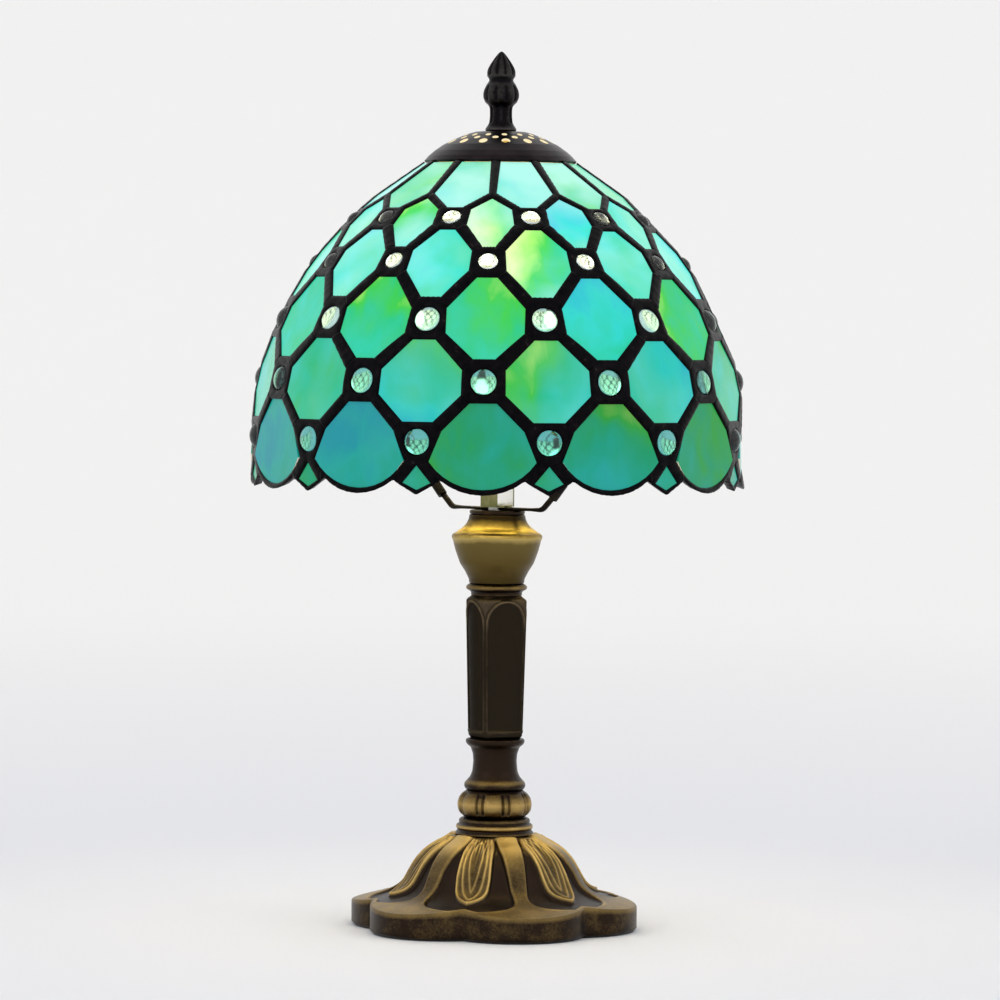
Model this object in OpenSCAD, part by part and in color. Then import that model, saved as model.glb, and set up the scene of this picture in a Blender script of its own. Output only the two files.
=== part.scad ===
// Leaded glass table lamp: domed shade of flat glass pieces and round jewels in solder seams,
// hung from a harp on a cast stand. Millimetres, +Z up, the origin on the table under the rod.

/* [Shade] */
// Diameter of the glass across the rim
shade_d = 252.8; // [240:0.2:256]
// Height above the table at which the dome starts to curve in
dome_spring_z = 255; // [250:1:258]
// Height from there to the point where the dome would close
dome_rise = 154; // [152:0.5:158]
// Fullness of the dome near its spring
dome_power = 1.95; // [1.9:0.01:2.05]
// Fullness of the dome near its top
dome_round = 0.68; // [0.66:0.01:0.7]
// Pieces of glass in each ring
panes = 12; // [12:1:12]
// Turn of the first jewel column from the front
shade_turn = 11.6; // [0:0.1:29]
// Thickness of the sheet glass
glass_t = 3; // [2.5:0.1:3.5]
// How far a solder seam stands out from the glass on each face
bead_h = 0.8; // [0.4:0.1:1.2]
// Width of the solder on the rim
rim_bead_w = 2.3; // [1.6:0.1:3]
// Radius of the jewels of the two upper rings
jewel_small_r = 5.3; // [4.5:0.1:5.5]
// Radius of the jewels of the three lower rings
jewel_large_r = 7.0; // [6:0.1:7.2]

/* [Cap and finial] */
// Radius of the vented cap
cap_r = 39.2; // [38.8:0.1:40]
// Thickness of the cap's sheet
cap_t = 0.9; // [0.7:0.1:1.1]
// Holes in each ring of the cap
cap_holes = 14; // [8:1:16]
// Turn of the first hole from the front
cap_turn = 5.8; // [0:0.1:25]
// Full height of the lamp
lamp_h = 452; // [448:1:454]

/* [Harp] */
// Half the inner width of the harp's wire, at its middle
harp_half_w = 44; // [42:1:46]
// Radius of the harp's wire
wire_r = 1.5; // [1.3:0.1:1.6]
// Half the length of the saddle
saddle_half = 29.6; // [28:0.2:31]
// Turn of the harp about the rod
harp_turn = -35; // [-60:1:60]

/* [Stand] */
// Radius of the six lobes of the foot
lobe_r = 36.7; // [36:0.1:37.4]
// Distance of the lobes' centres from the rod
lobe_at = 38.3; // [37.6:0.1:39]
// Turn of the first lobe from the front
foot_turn = 16; // [0:1:59]
// Radius of the threaded rod
rod_r = 4.9; // [4.8:0.05:4.95]
// Radius of the four-sided column at its top corners
column_top_r = 17.1; // [16.5:0.1:17.5]
// Radius of the column at its bottom corners
column_foot_r = 15.1; // [14.5:0.1:15.5]

/* [Socket and bulb] */
// Radius of the bulb's screw base
bulb_base_r = 13; // [12.8:0.1:13.1]
// Widest radius of the bulb's glass
bulb_r = 30; // [28:0.5:31]
// Height of the bulb's contact above the table
bulb_tip_z = 249; // [249:0.5:251]

/* [Hidden] */
$fn = 72;
eps = 0.01;
fit_gap = 0.05;

// Heights at which the pieces of the stand meet
pad_t = 1;
dome_top_z = 48.5;
collar_top_z = 57;
knop_top_z = 71.5;
waist_top_z = 98;
column_top_z = 172;
vase_foot_z = 178;
vase_top_z = 214;
lid_top_z = 216;
saddle_t = 1.6;
bracket_t = 1;
bracket_z = lid_top_z + saddle_t;
rod_bottom_z = 5.5;
rod_top_z = bracket_z + bracket_t;
rod_hole_r = rod_r + 0.2;

// Stud, washer and cap at the top of the harp
stud_r = 3.1;
seat_z = 408.8;
washer_t = 1.2;
cap_under_z = seat_z + washer_t;
cap_top_z = cap_under_z + cap_t;
wire_top_z = 404;

// Corners of each ring's glass, top to bottom: degrees from its centre line, and height
pane_1 = [[11.4, 394.2], [13.2, 377.5], [3.3, 370.3]];
pane_2 = [[0, 374.9], [8.1, 369.4], [8.5, 361.6], [2.0, 350.4]];
pane_3 = [[2.8, 359], [9.7, 348.6], [9.5, 338.6], [2.8, 325.5]];
pane_4 = [[2.9, 335.2], [10.2, 320], [9.7, 307.7], [2.6, 295]];
pane_5 = [[2.9, 304.4], [9.9, 289.6], [9.9, 277.3], [3.6, 264]];
pane_6_top = [[3.1, 273.3], [9.3, 259.5], [12, 244.8]];
diamond = [[0, 242.6], [3.3, 234], [0, 230.4]];
scallop_z = 230.5;
notch = [10.6, 233.5];
half_step = 180 / panes;

// The lower edge of a bottom pane is an arc that runs from its widest corner to the centre line
scallop_w = pane_6_top[2][0] * PI / 180 * shade_d / 2;
scallop_h = pane_6_top[2][1] - scallop_z;
scallop_r = (scallop_w^2 + scallop_h^2) / (2 * scallop_h);
scallop_end = asin(scallop_w / scallop_r);
scallop_steps = 6;
function scallop_point(i, out = 0) =
    let (turn = scallop_end * (1 - i / scallop_steps))
    [(scallop_r + out) * sin(turn) / (shade_d / 2) * 180 / PI,
     scallop_z + scallop_r - (scallop_r + out) * cos(turn)];
scallop = [for (i = [1 : scallop_steps]) scallop_point(i)];
pane_6 = concat(pane_6_top, scallop);

// ---------------------------------------------------------------- shade geometry

// Radius of the dome at a height
function dome_r(z) = shade_d / 2 * (z <= dome_spring_z ? 1
    : (1 - ((z - dome_spring_z) / dome_rise)^dome_power)^dome_round);

// The point of the dome at an angle from the front and a height; a point of space stays as it is
function on_dome(p) = len(p) == 3 ? p : [dome_r(p[1]) * sin(p[0]), -dome_r(p[1]) * cos(p[0]), p[1]];

// The point that the side walls of all the pieces lead to, so that neighbours share their walls
core = [0, 0, 270];

function sum(list, i = 0) = i == len(list) - 1 ? list[i] : list[i] + sum(list, i + 1);
function unit(v) = v / norm(v);
function mirrored(corners) = [for (i = [len(corners) - 1 : -1 : 0])
    if (abs(corners[i][0]) > eps) [-corners[i][0], corners[i][1]]];
function whole(corners) = concat(corners, mirrored(corners));
function reversed(list) = [for (i = [len(list) - 1 : -1 : 0]) list[i]];
function along(a, b, share) = a + (b - a) * share;
function flip(points, s) = [for (p = points) len(p) == 3 ? [s * p[0], p[1], p[2]] : [s * p[0], p[1]]];

// Where the line from the core through p meets the plane through c with the normal n
function cast(p, c, n) = core + (p - core) * ((c - core) * n) / ((p - core) * n);

function middle(points) = sum(points) / len(points);
function facing(points) = unit(sum([for (i = [0 : len(points) - 1])
    cross(points[i] - middle(points), points[(i + 1) % len(points)] - middle(points))]));
// The normal, pointing out of the shade
function outward(points) = facing(points) * (facing(points) * (middle(points) - core) > 0 ? 1 : -1);

// A flat piece over corners of the dome: outer and inner faces parallel to the plane that fits the
// corners in flat, and side walls through the core
module piece(corners, out, in, flat = []) {
    points = [for (p = corners) on_dome(p)];
    seat = [for (p = len(flat) > 0 ? flat : corners) on_dome(p)];
    c = middle(seat);
    n = outward(seat);
    count = len(points);
    forward = facing(points) * n > 0;
    outer = [for (p = points) cast(p, c + n * out, n)];
    inner = [for (p = points) cast(p, c - n * in, n)];
    lid = [for (i = [0 : count - 1]) i];
    sides = [for (i = [0 : count - 1]) let (j = (i + 1) % count) [i, i + count, j + count, j]];
    // Faces run clockwise seen from outside
    faces = concat([[for (i = [count - 1 : -1 : 0]) i]], [[for (i = lid) i + count]], sides);
    polyhedron(concat(outer, inner), forward ? faces : [for (f = faces) reversed(f)]);
}

module around(first) {
    for (i = [0 : panes - 1]) rotate(shade_turn + first + i * 360 / panes) children();
}

// Even rings have their pieces between those of the odd rings
function ring_turn(ring) = ring % 2 == 1 ? 0 : -half_step;

module glass_ring(ring, corners) {
    around(ring_turn(ring)) piece(whole(corners), 0, glass_t);
}

// Solder: proud of the glass on both faces
module solder(corners) {
    piece(corners, bead_h, glass_t + bead_h);
}

// The slanting seams on both sides of each pane of a ring, down to the panes of the next ring
module slanting_seams(ring, side, bottom, next_top, next_side) {
    around(ring_turn(ring)) for (s = [-1, 1])
        solder([[s * side[0], side[1]],
                [s * (half_step - next_top[0]), next_top[1]],
                [s * (half_step - next_side[0]), next_side[1]],
                [s * bottom[0], bottom[1]]]);
}

// The corners of the setting of a jewel: the edges of the panes above, beside and below it
function setting_corners(above, side_top, side_bottom, below) = whole(concat(
    [above, [half_step - side_top[0], side_top[1]], [half_step - side_bottom[0], side_bottom[1]]],
    [below]));

// Carries its children to the middle of a setting, their +Z out of the shade
module on_setting(corners) {
    points = [for (p = corners) on_dome(p)];
    n = outward(points);
    c = middle(points);
    translate(c) multmatrix([[1, 0, 0, 0], [0, -n[2], -n[1], 0], [0, n[1], -n[2], 0]])
        mirror([0, 0, 1]) mirror([0, 1, 0]) children();
}

module settings(ring, corners, r) {
    around(ring_turn(ring)) difference() {
        solder(corners);
        on_setting(corners) translate([0, 0, -15]) cylinder(r = r + fit_gap, h = 30);
    }
}

// A cabochon: a flat-backed button of glass with a domed face
module cabochon(r) {
    edge_h = 1;
    dome_h = r * 0.42;
    ball_r = (r^2 + dome_h^2) / (2 * dome_h);
    reach = asin(r / ball_r);
    rotate_extrude() polygon(concat([[0, -glass_t], [r, -glass_t]],
        [for (i = [5 : -1 : 0]) [ball_r * sin(reach * i / 5),
            edge_h + dome_h - ball_r + ball_r * cos(reach * i / 5)]]));
}

module jewels(ring, corners, r) {
    color([0.75, 0.95, 0.92]) around(ring_turn(ring)) on_setting(corners) cabochon(r);
}

setting_1 = setting_corners(pane_1[2], pane_2[1], pane_2[2], pane_3[0]);
setting_2 = setting_corners(pane_2[3], pane_3[1], pane_3[2], pane_4[0]);
setting_3 = setting_corners(pane_3[3], pane_4[1], pane_4[2], pane_5[0]);
setting_4 = setting_corners(pane_4[3], pane_5[1], pane_5[2], pane_6[0]);
setting_5 = setting_corners(pane_5[3], pane_6[1], pane_6[2], diamond[0]);

// ---------------------------------------------------------------- shade

module crown_panes() color([0.72, 0.95, 0.88]) glass_ring(1, pane_1);
module shoulder_panes() color([0.45, 0.88, 0.72]) glass_ring(2, pane_2);
module upper_panes() color([0.35, 0.85, 0.68]) glass_ring(3, pane_3);
module middle_panes() color([0.22, 0.76, 0.52]) glass_ring(4, pane_4);
module lower_panes() color([0.3, 0.8, 0.58]) glass_ring(5, pane_5);
module scallop_panes() color([0.15, 0.62, 0.45]) glass_ring(6, pane_6);
module rim_diamonds() color([0.16, 0.66, 0.4]) glass_ring(7, diamond);

module jewels_1() jewels(1, setting_1, jewel_small_r);
module jewels_2() jewels(2, setting_2, jewel_small_r);
module jewels_3() jewels(3, setting_3, jewel_large_r);
module jewels_4() jewels(4, setting_4, jewel_large_r);
module jewels_5() jewels(5, setting_5, jewel_large_r);

lead = [0.1, 0.1, 0.11];
module settings_1() color(lead) settings(1, setting_1, jewel_small_r);
module settings_2() color(lead) settings(2, setting_2, jewel_small_r);
module settings_3() color(lead) settings(3, setting_3, jewel_large_r);
module settings_4() color(lead) settings(4, setting_4, jewel_large_r);
module settings_5() color(lead) settings(5, setting_5, jewel_large_r);

// Seams that meet in a point stop short of it by this share, so that each is a piece of its own
short = 0.06;
function shy(peak, other) = along(on_dome(peak), on_dome(other), short);

// Upright seams between the crown's panes, down to the point of the pane below
crown_low = [half_step - pane_1[1][0], pane_1[1][1]];
crown_tip = shy(pane_2[0], crown_low);
module crown_seams() color(lead) around(ring_turn(2))
    solder(concat([[half_step - pane_1[0][0], pane_1[0][1]], crown_low], [crown_tip],
        flip([crown_tip, crown_low, [half_step - pane_1[0][0], pane_1[0][1]]], -1)));
module shoulder_seams() color(lead) around(ring_turn(1)) for (s = [-1, 1])
    let (peak = [half_step, pane_2[0][1]], low = [half_step - pane_2[1][0], pane_2[1][1]])
    solder(flip([pane_1[1], shy(peak, pane_1[1]), shy(peak, low), low, pane_1[2]], s));
module upper_seams() color(lead) slanting_seams(2, pane_2[2], pane_2[3], pane_3[0], pane_3[1]);
module middle_seams() color(lead) slanting_seams(3, pane_3[2], pane_3[3], pane_4[0], pane_4[1]);
module lower_seams() color(lead) slanting_seams(4, pane_4[2], pane_4[3], pane_5[0], pane_5[1]);
module scallop_seams() color(lead) slanting_seams(5, pane_5[2], pane_5[3], pane_6[0], pane_6[1]);
module diamond_seams() color(lead) around(ring_turn(6)) for (s = [-1, 1])
    let (peak = [half_step, diamond[0][1]], low = [half_step - diamond[1][0], diamond[1][1]])
    solder(flip([pane_6[2], shy(peak, pane_6[2]), shy(peak, low), low, notch, scallop_point(1)], s));

// The bead along the scallops and under the diamonds, in short stretches that share their ends
rim_outer = concat([along(notch, scallop_point(2, rim_bead_w), short)],
    [for (i = [2 : scallop_steps]) scallop_point(i, rim_bead_w)]);
rim_tip = [0, diamond[2][1] - rim_bead_w];
rim_notch = [half_step - notch[0], notch[1]];
module rim_bead() color(lead) for (s = [-1, 1]) {
    around(ring_turn(6)) for (i = [1 : scallop_steps - 1])
        piece(flip([scallop_point(i), scallop_point(i + 1), rim_outer[i], rim_outer[i - 1]], s),
            bead_h, glass_t + bead_h, whole(pane_6));
    around(ring_turn(7))
        piece(flip([diamond[1], diamond[2], rim_tip, along(rim_notch, rim_tip, short)], s),
            bead_h, glass_t + bead_h, whole(diamond));
}

// Brass ring soldered inside the top of the glass
module shade_top_ring() color([0.35, 0.28, 0.16])
    rotate_extrude() polygon([[35.8, 392.4], [37.4, 392.4], [38, 394.4], [37.6, 395.7], [35.4, 396.6]]);

// ---------------------------------------------------------------- cap, washer and finial

// Upper face of the cap, from its middle to its rim
cap_outline = [[0, cap_top_z], [9, cap_top_z], [13, cap_top_z - 0.3], [17.5, cap_top_z - 1.6],
               [24, cap_top_z - 4.3], [29.5, cap_top_z - 7.1], [34.2, cap_top_z - 10.4],
               [37.2, cap_top_z - 13.1], [cap_r, cap_top_z - 15.4]];
cap_lining = [for (i = [len(cap_outline) - 1 : -1 : 0])
    cap_outline[i] - [i == 0 ? 0 : cap_t * i / 12, cap_t]];
// Rings of holes: distance from the middle, radius, and turn in steps
cap_rings = [[26.3, 2.2, 0], [22.2, 1.6, 0.5], [18.6, 1.4, 0]];
module shade_cap() color([0.13, 0.1, 0.1]) difference() {
    rotate_extrude() polygon(concat(cap_outline, cap_lining));
    translate([0, 0, cap_under_z - 1]) cylinder(r = stud_r + 0.3, h = 4);
    for (ring = cap_rings) for (i = [0 : cap_holes - 1])
        rotate(cap_turn + (i + ring[2]) * 360 / cap_holes) translate([0, -ring[0], cap_top_z - 15])
            cylinder(r = ring[1], h = 20);
}

module shade_washer() color([0.72, 0.58, 0.3]) translate([0, 0, seat_z]) difference() {
    cylinder(r = 8.8, h = washer_t);
    translate([0, 0, -1]) cylinder(r = stud_r + 0.2, h = washer_t + 2);
}

finial_z = cap_top_z;
finial_bore = 14;
finial_outline = [[8.1, 0], [8.1, 1.4], [7.2, 2.8], [6.3, 4.8], [6, 8], [6.1, 13.4], [8, 15],
    [9.4, 18.1], [9, 21], [7.4, 24], [6.2, 26.2], [6.8, 28.5], [7.3, 31.5], [6.6, 33.6], [4.4, 36.6],
    [2.3, 39], [1.2, 40.6]];
module finial() color([0.1, 0.08, 0.08]) difference() {
    rotate_extrude() polygon(concat([[0, finial_z]],
        [for (p = finial_outline) [p[0], finial_z + p[1]]], [[0, lamp_h]]));
    translate([0, 0, finial_z - 1]) cylinder(r = stud_r + fit_gap, h = finial_bore + 1);
}

// ---------------------------------------------------------------- harp

stem_lean = 40;
stem_len = 14;
stem_z = bracket_z - saddle_t / 2;
lead_in = 4.5;
bow_start = stem_len + lead_in;
harp_r = harp_half_w + wire_r;
bend_r = (harp_r - saddle_half - bow_start * sin(stem_lean)) / (1 - cos(stem_lean));
bend_z = stem_z + bow_start * cos(stem_lean) + bend_r * sin(stem_lean);
crown_flat = 4;
crown_r = harp_r - crown_flat;
crown_z = wire_top_z - crown_r;

module saddle_stem(r, from, to) {
    translate([saddle_half, 0, stem_z]) rotate([0, stem_lean, 0])
        translate([0, 0, from]) cylinder(r = r, h = to - from);
}
// A drop of weld that joins two stretches of the wire
module weld() {
    sphere(r = wire_r + 0.04);
}
module both_sides() {
    rotate(harp_turn) for (s = [0, 180]) rotate(s) children();
}

module harp_saddle() color([0.2, 0.17, 0.12]) difference() {
    union() {
        translate([0, 0, lid_top_z]) cylinder(r = 9, h = saddle_t);
        rotate(harp_turn) translate([-saddle_half, -2.8, lid_top_z]) cube([2 * saddle_half, 5.6, saddle_t]);
        both_sides() saddle_stem(wire_r - 0.1, 0, stem_len - 0.2);
    }
    translate([0, 0, lid_top_z - 1]) cylinder(r = rod_hole_r, h = 4);
}

module harp_ferrules() color([0.7, 0.56, 0.28]) both_sides() difference() {
    saddle_stem(2.5, stem_len - 6, stem_len + 4);
    saddle_stem(wire_r + fit_gap, stem_len - 7, stem_len + 6);
}

module harp_bow() color([0.16, 0.13, 0.1]) {
    both_sides() {
        saddle_stem(wire_r, stem_len, bow_start);
        translate([saddle_half, 0, stem_z]) rotate([0, stem_lean, 0]) translate([0, 0, bow_start]) weld();
        translate([harp_r, 0, bend_z]) weld();
        translate([harp_r - bend_r, 0, bend_z]) rotate([90, 0, 0]) rotate([0, 0, -stem_lean])
            rotate_extrude(angle = stem_lean) translate([bend_r, 0]) circle(wire_r);
        translate([harp_r, 0, bend_z]) cylinder(r = wire_r, h = crown_z - bend_z);
        translate([crown_flat, 0, crown_z]) rotate([90, 0, 0])
            rotate_extrude(angle = 90) translate([crown_r, 0]) circle(wire_r);
        translate([0, 0, wire_top_z]) rotate([0, 90, 0]) cylinder(r = wire_r, h = crown_flat);
    }
}

// Boss that the wire passes through, with the seat for the shade and the stud for the finial
module harp_seat() color([0.7, 0.56, 0.28]) difference() {
    rotate_extrude() polygon([[0, 400.5], [4, 400.5], [4.6, 401.2], [4.6, seat_z - 2], [8, seat_z - 1.6],
        [8, seat_z], [stud_r, seat_z], [stud_r, cap_top_z + 12], [stud_r - 0.5, cap_top_z + 12.6],
        [0, cap_top_z + 12.6]]);
    rotate(harp_turn) translate([-8, 0, wire_top_z]) rotate([0, 90, 0])
        cylinder(r = wire_r + fit_gap, h = 16);
}

// ---------------------------------------------------------------- socket

leg_w = 10;
leg_at = 8;
body_z = 232;
body_r = 17;
shell_z = 247.5;
shell_top_z = 270;

// Plated steel strap: a tapped foot on the rod and two legs that hold the lampholder
module socket_bracket() color([0.45, 0.44, 0.28]) rotate(harp_turn) difference() {
    union() {
        translate([-leg_w / 2, -leg_at, bracket_z]) cube([leg_w, 2 * leg_at, bracket_t]);
        translate([0, 0, bracket_z]) cylinder(r = leg_at, h = bracket_t);
        for (s = [-1, 1]) translate([-leg_w / 2, s > 0 ? leg_at - bracket_t : -leg_at, bracket_z])
            cube([leg_w, bracket_t, body_z - bracket_z]);
        for (s = [-1, 1]) translate([-leg_w / 2, s > 0 ? leg_at - bracket_t : -12.4, body_z - bracket_t])
            cube([leg_w, 12.4 - leg_at + bracket_t, bracket_t]);
    }
    translate([0, 0, bracket_z - 1]) cylinder(r = rod_r + fit_gap, h = 3);
    for (s = [-1, 1]) translate([0, s * 10.4, body_z - 2]) cylinder(r = 1.3, h = 4);
}

module bracket_screws() color([0.6, 0.6, 0.58]) rotate(harp_turn) for (s = [-1, 1])
    translate([0, s * 10.4, body_z - bracket_t - 1.4]) {
        difference() {
            cylinder(r = 2.4, h = 1.4);
            translate([-3, -0.3, -eps]) cube([6, 0.6, 0.5]);
        }
        cylinder(r = 1.2, h = 6.4);
    }

// Phenolic lampholder body
module socket_body() color([0.06, 0.06, 0.06]) difference() {
    rotate_extrude() polygon([[0, body_z], [body_r - 1, body_z], [body_r, body_z + 1],
        [body_r, shell_top_z + 1], [body_r - 1, shell_top_z + 2], [14.6, shell_top_z + 2],
        [14.6, shell_z - 0.5], [0, shell_z - 0.5]]);
    rotate(harp_turn) {
        for (s = [-1, 1]) translate([0, s * 10.4, body_z - 1]) cylinder(r = 1.25, h = 6.2);
        for (s = [-1, 1]) translate([s * 9.5, 0, body_z - 1]) cylinder(r = 1.55, h = 6.5);
    }
}

module screw_shell() color([0.75, 0.6, 0.32]) difference() {
    translate([0, 0, shell_z]) cylinder(r = 14.5, h = shell_top_z - shell_z);
    translate([0, 0, shell_z + 0.6]) cylinder(r = bulb_base_r + 0.6, h = 40);
    translate([0, 0, shell_z - 3]) cylinder(r = 7, h = 6);
}

module centre_contact() color([0.8, 0.65, 0.35]) {
    translate([-2.5, -6.4, shell_z - 0.5]) cube([5, 12.8, 0.6]);
    translate([0, 0, shell_z + 0.1]) cylinder(r1 = 4.2, r2 = 2.6, h = bulb_tip_z - shell_z - 0.2);
}

module terminal_screws() color([0.78, 0.66, 0.4]) rotate(harp_turn) for (s = [-1, 1])
    translate([s * 9.5, 0, body_z - 1.6]) {
        cylinder(r = 2.8, h = 1.6);
        cylinder(r = 1.5, h = 6.6);
    }

// ---------------------------------------------------------------- bulb

module bulb_tip() color([0.7, 0.7, 0.68]) translate([0, 0, bulb_tip_z]) cylinder(r1 = 3.6, r2 = 4.6, h = 1.4);
module bulb_insulator() color([0.05, 0.05, 0.06])
    translate([0, 0, bulb_tip_z + 1.4]) cylinder(r1 = 5, r2 = 8.6, h = 3);
module bulb_cap() color([0.82, 0.83, 0.84]) difference() {
    rotate_extrude() polygon([[0, bulb_tip_z + 4.4], [8.6, bulb_tip_z + 4.4], [11.6, bulb_tip_z + 6.2],
        [bulb_base_r, bulb_tip_z + 8], [bulb_base_r, bulb_tip_z + 24], [bulb_base_r - 0.4, bulb_tip_z + 27],
        [0, bulb_tip_z + 27]]);
    translate([0, 0, bulb_tip_z + 8]) cylinder(r = bulb_base_r - 0.7, h = 30);
}

bulb_ball_z = bulb_tip_z + 75;
bulb_neck_r = 12.2;
bulb_wall = 0.9;
function bulb_profile(r, neck, foot_z) = concat(
    [[0, foot_z], [neck, foot_z], [neck, bulb_tip_z + 28]],
    [for (i = [1 : 6]) let (u = i / 7) [neck + (r * cos(28) - neck) * (1 - cos(180 * u)) / 2,
        bulb_tip_z + 28 + (bulb_ball_z - r * sin(28) - bulb_tip_z - 28) * u]],
    [for (a = [-28 : 7 : 84]) [r * cos(a), bulb_ball_z + r * sin(a)]],
    [[0, bulb_ball_z + r]]);
module bulb_glass() color([0.98, 0.97, 0.92, 0.7]) rotate_extrude() difference() {
    polygon(bulb_profile(bulb_r, bulb_neck_r, bulb_tip_z + 10));
    polygon(bulb_profile(bulb_r - bulb_wall, bulb_neck_r - bulb_wall, bulb_tip_z + 11));
}

// Glass mount that carries the filament
module bulb_stem() color([0.85, 0.86, 0.86]) {
    translate([0, 0, bulb_tip_z + 11]) cylinder(r = 5, h = 32);
    translate([0, 0, bulb_tip_z + 43]) cylinder(r1 = 5, r2 = 1.6, h = 10);
    translate([0, 0, bulb_tip_z + 53]) cylinder(r = 1.6, h = 16);
    translate([0, 0, bulb_tip_z + 69]) rotate_extrude() translate([11, 0]) circle(0.7);
    for (a = [0 : 72 : 359]) rotate(a) translate([0, 0, bulb_tip_z + 69]) rotate([0, 90, 0])
        cylinder(r = 0.4, h = 10.6);
}

// ---------------------------------------------------------------- stand

module rod_hole(from, to) {
    translate([0, 0, from - 1]) cylinder(r = rod_hole_r, h = to - from + 2);
}
module turned(outline, from, to) {
    difference() {
        rotate_extrude() polygon(concat([[0, from]], outline, [[0, to]]));
        rod_hole(from, to);
    }
}

// Six rounded lobes round the middle
module lobes(inset = 0) {
    for (i = [0 : 5]) rotate(foot_turn + 60 * i) translate([0, -lobe_at]) circle(lobe_r - inset, $fn = 90);
    circle(lobe_at, $fn = 90);
}

module base_pad() color([0.12, 0.11, 0.1]) linear_extrude(pad_t) lobes(1.6);

foot_outline = [[76, pad_t], [76, 10.6], [74.4, 12.6], [70.5, 14.2], [63, 16], [56, 17.6], [50.6, 19.8],
    [47.2, 22.4], [45.2, 25.4], [42.4, 30.6], [39.4, 35.4], [35.2, 39.8], [30.4, 43], [25, 45.6],
    [21.4, dome_top_z]];
// Boss under the dome that the rod's washer bears on
boss_z = 13;
rod_washer_t = 1.5;
module base_casting() color([0.38, 0.28, 0.12]) difference() {
    intersection() {
        rotate_extrude() polygon(concat([[0, pad_t]], foot_outline, [[0, dome_top_z]]));
        translate([0, 0, -1]) linear_extrude(60) lobes();
    }
    difference() {
        rotate_extrude() polygon([[0, pad_t - 1], [58, pad_t - 1], [57, 12.4], [50, 15], [45, 18.2],
            [42.4, 22.4], [38.6, 28.6], [35, 33.4], [30.4, 37.4], [24, 40.6], [16, 42.4], [0, 42.4]]);
        translate([0, 0, boss_z]) cylinder(r = 9, h = dome_top_z - boss_z);
    }
    rod_hole(0, dome_top_z);
    bushing_axis() translate([0, 0, 40]) cylinder(r = bushing_r + fit_gap, h = 50);
}

// Rubber grommet through the lobe at the back, where a lead would enter
bushing_z = 7.2;
bushing_r = 4.5;
bushing_bore_r = 3.2;
foot_reach = lobe_at + lobe_r;
module bushing_axis() {
    rotate(foot_turn + 180) translate([0, 0, bushing_z]) rotate([90, 0, 0]) children();
}
module cord_bushing() color([0.05, 0.05, 0.05]) bushing_axis() difference() {
    union() {
        translate([0, 0, foot_reach - 18]) cylinder(r = bushing_r, h = 18);
        translate([0, 0, foot_reach]) cylinder(r = 6, h = 1.6);
    }
    translate([0, 0, foot_reach - 20]) cylinder(r = bushing_bore_r, h = 30);
}

module rod_washer() color([0.6, 0.6, 0.58]) translate([0, 0, boss_z - rod_washer_t]) difference() {
    cylinder(r = 11, h = rod_washer_t);
    translate([0, 0, -1]) cylinder(r = rod_hole_r, h = 4);
}
module rod_nut() color([0.62, 0.62, 0.6]) translate([0, 0, boss_z - rod_washer_t - 4.5]) difference() {
    cylinder(r = 8.4, h = 4.5, $fn = 6);
    translate([0, 0, -1]) cylinder(r = rod_r + fit_gap, h = 8);
}
module lamp_rod() color([0.55, 0.54, 0.5]) difference() {
    translate([0, 0, rod_bottom_z]) cylinder(r = rod_r, h = rod_top_z - rod_bottom_z);
    translate([0, 0, rod_bottom_z - 1]) cylinder(r = 3.4, h = rod_top_z);
}

bronze = [0.36, 0.27, 0.12];
module foot_collar() color(bronze) turned([[20.4, dome_top_z], [19.8, 50], [19, 50.6], [19.4, 52.2],
    [19.2, 54], [17.6, 55], [17.2, collar_top_z]], dome_top_z, collar_top_z);
module knop_casting() color(bronze) turned([[15.4, collar_top_z], [17.6, 58.6], [18.6, 61.4],
    [18.7, 64.3], [17.8, 67.4], [15.8, 70], [14.6, knop_top_z]], collar_top_z, knop_top_z);
module waist_casting() color(bronze) turned([[15.1, knop_top_z], [15.5, 73.4], [15.3, 75.4], [12.8, 77.6],
    [11.7, 80.6], [11.2, 86.2], [11.5, 90], [12.4, 93], [14.4, 94.6], [15.1, 96.4], [14.8, waist_top_z]],
    knop_top_z, waist_top_z);

column_turn = -21;
column_h = column_top_z - waist_top_z;
column_sides = 4;
column_end = 3;
face_out = 0.84;
section_steps = 24;
panel_depth = 1;
panel_w = 9.4;
panel_back = 9.6;
panel_foot_z = waist_top_z + 4.4;
panel_spring_z = column_top_z - 13.5;
// Section of the column: its corners at radius r, the middles of its bulging sides at face_out * r
function column_section(r) = [for (i = [0 : section_steps - 1])
    let (per_side = section_steps / column_sides, t = abs(i % per_side - per_side / 2) / (per_side / 2),
        a = 360 * i / section_steps) r * (face_out + (1 - face_out) * t * t) * [sin(a), -cos(a)]];

module column_body(inset = 0) hull() {
    translate([0, 0, waist_top_z]) linear_extrude(height = column_end)
        polygon(column_section(column_foot_r - inset));
    translate([0, 0, column_top_z - column_end]) linear_extrude(height = column_end)
        polygon(column_section(column_top_r - inset));
}

// Outline of one round-headed panel, cut in from outside the column
module panel_prism() {
    translate([-panel_w, -2 * panel_back, panel_foot_z])
        cube([2 * panel_w, panel_back, panel_spring_z - panel_foot_z]);
    translate([0, -2 * panel_back, panel_spring_z]) rotate([-90, 0, 0]) cylinder(r = panel_w, h = panel_back);
}

// Column with four bulging sides and a round-headed sunk panel on each
module column_shaft() color([0.2, 0.15, 0.09]) rotate(column_turn) difference() {
    column_body();
    difference() {
        for (i = [0 : column_sides - 1]) rotate((i + 0.5) * 360 / column_sides) panel_prism();
        column_body(panel_depth);
    }
    rod_hole(waist_top_z, column_top_z);
}

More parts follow.
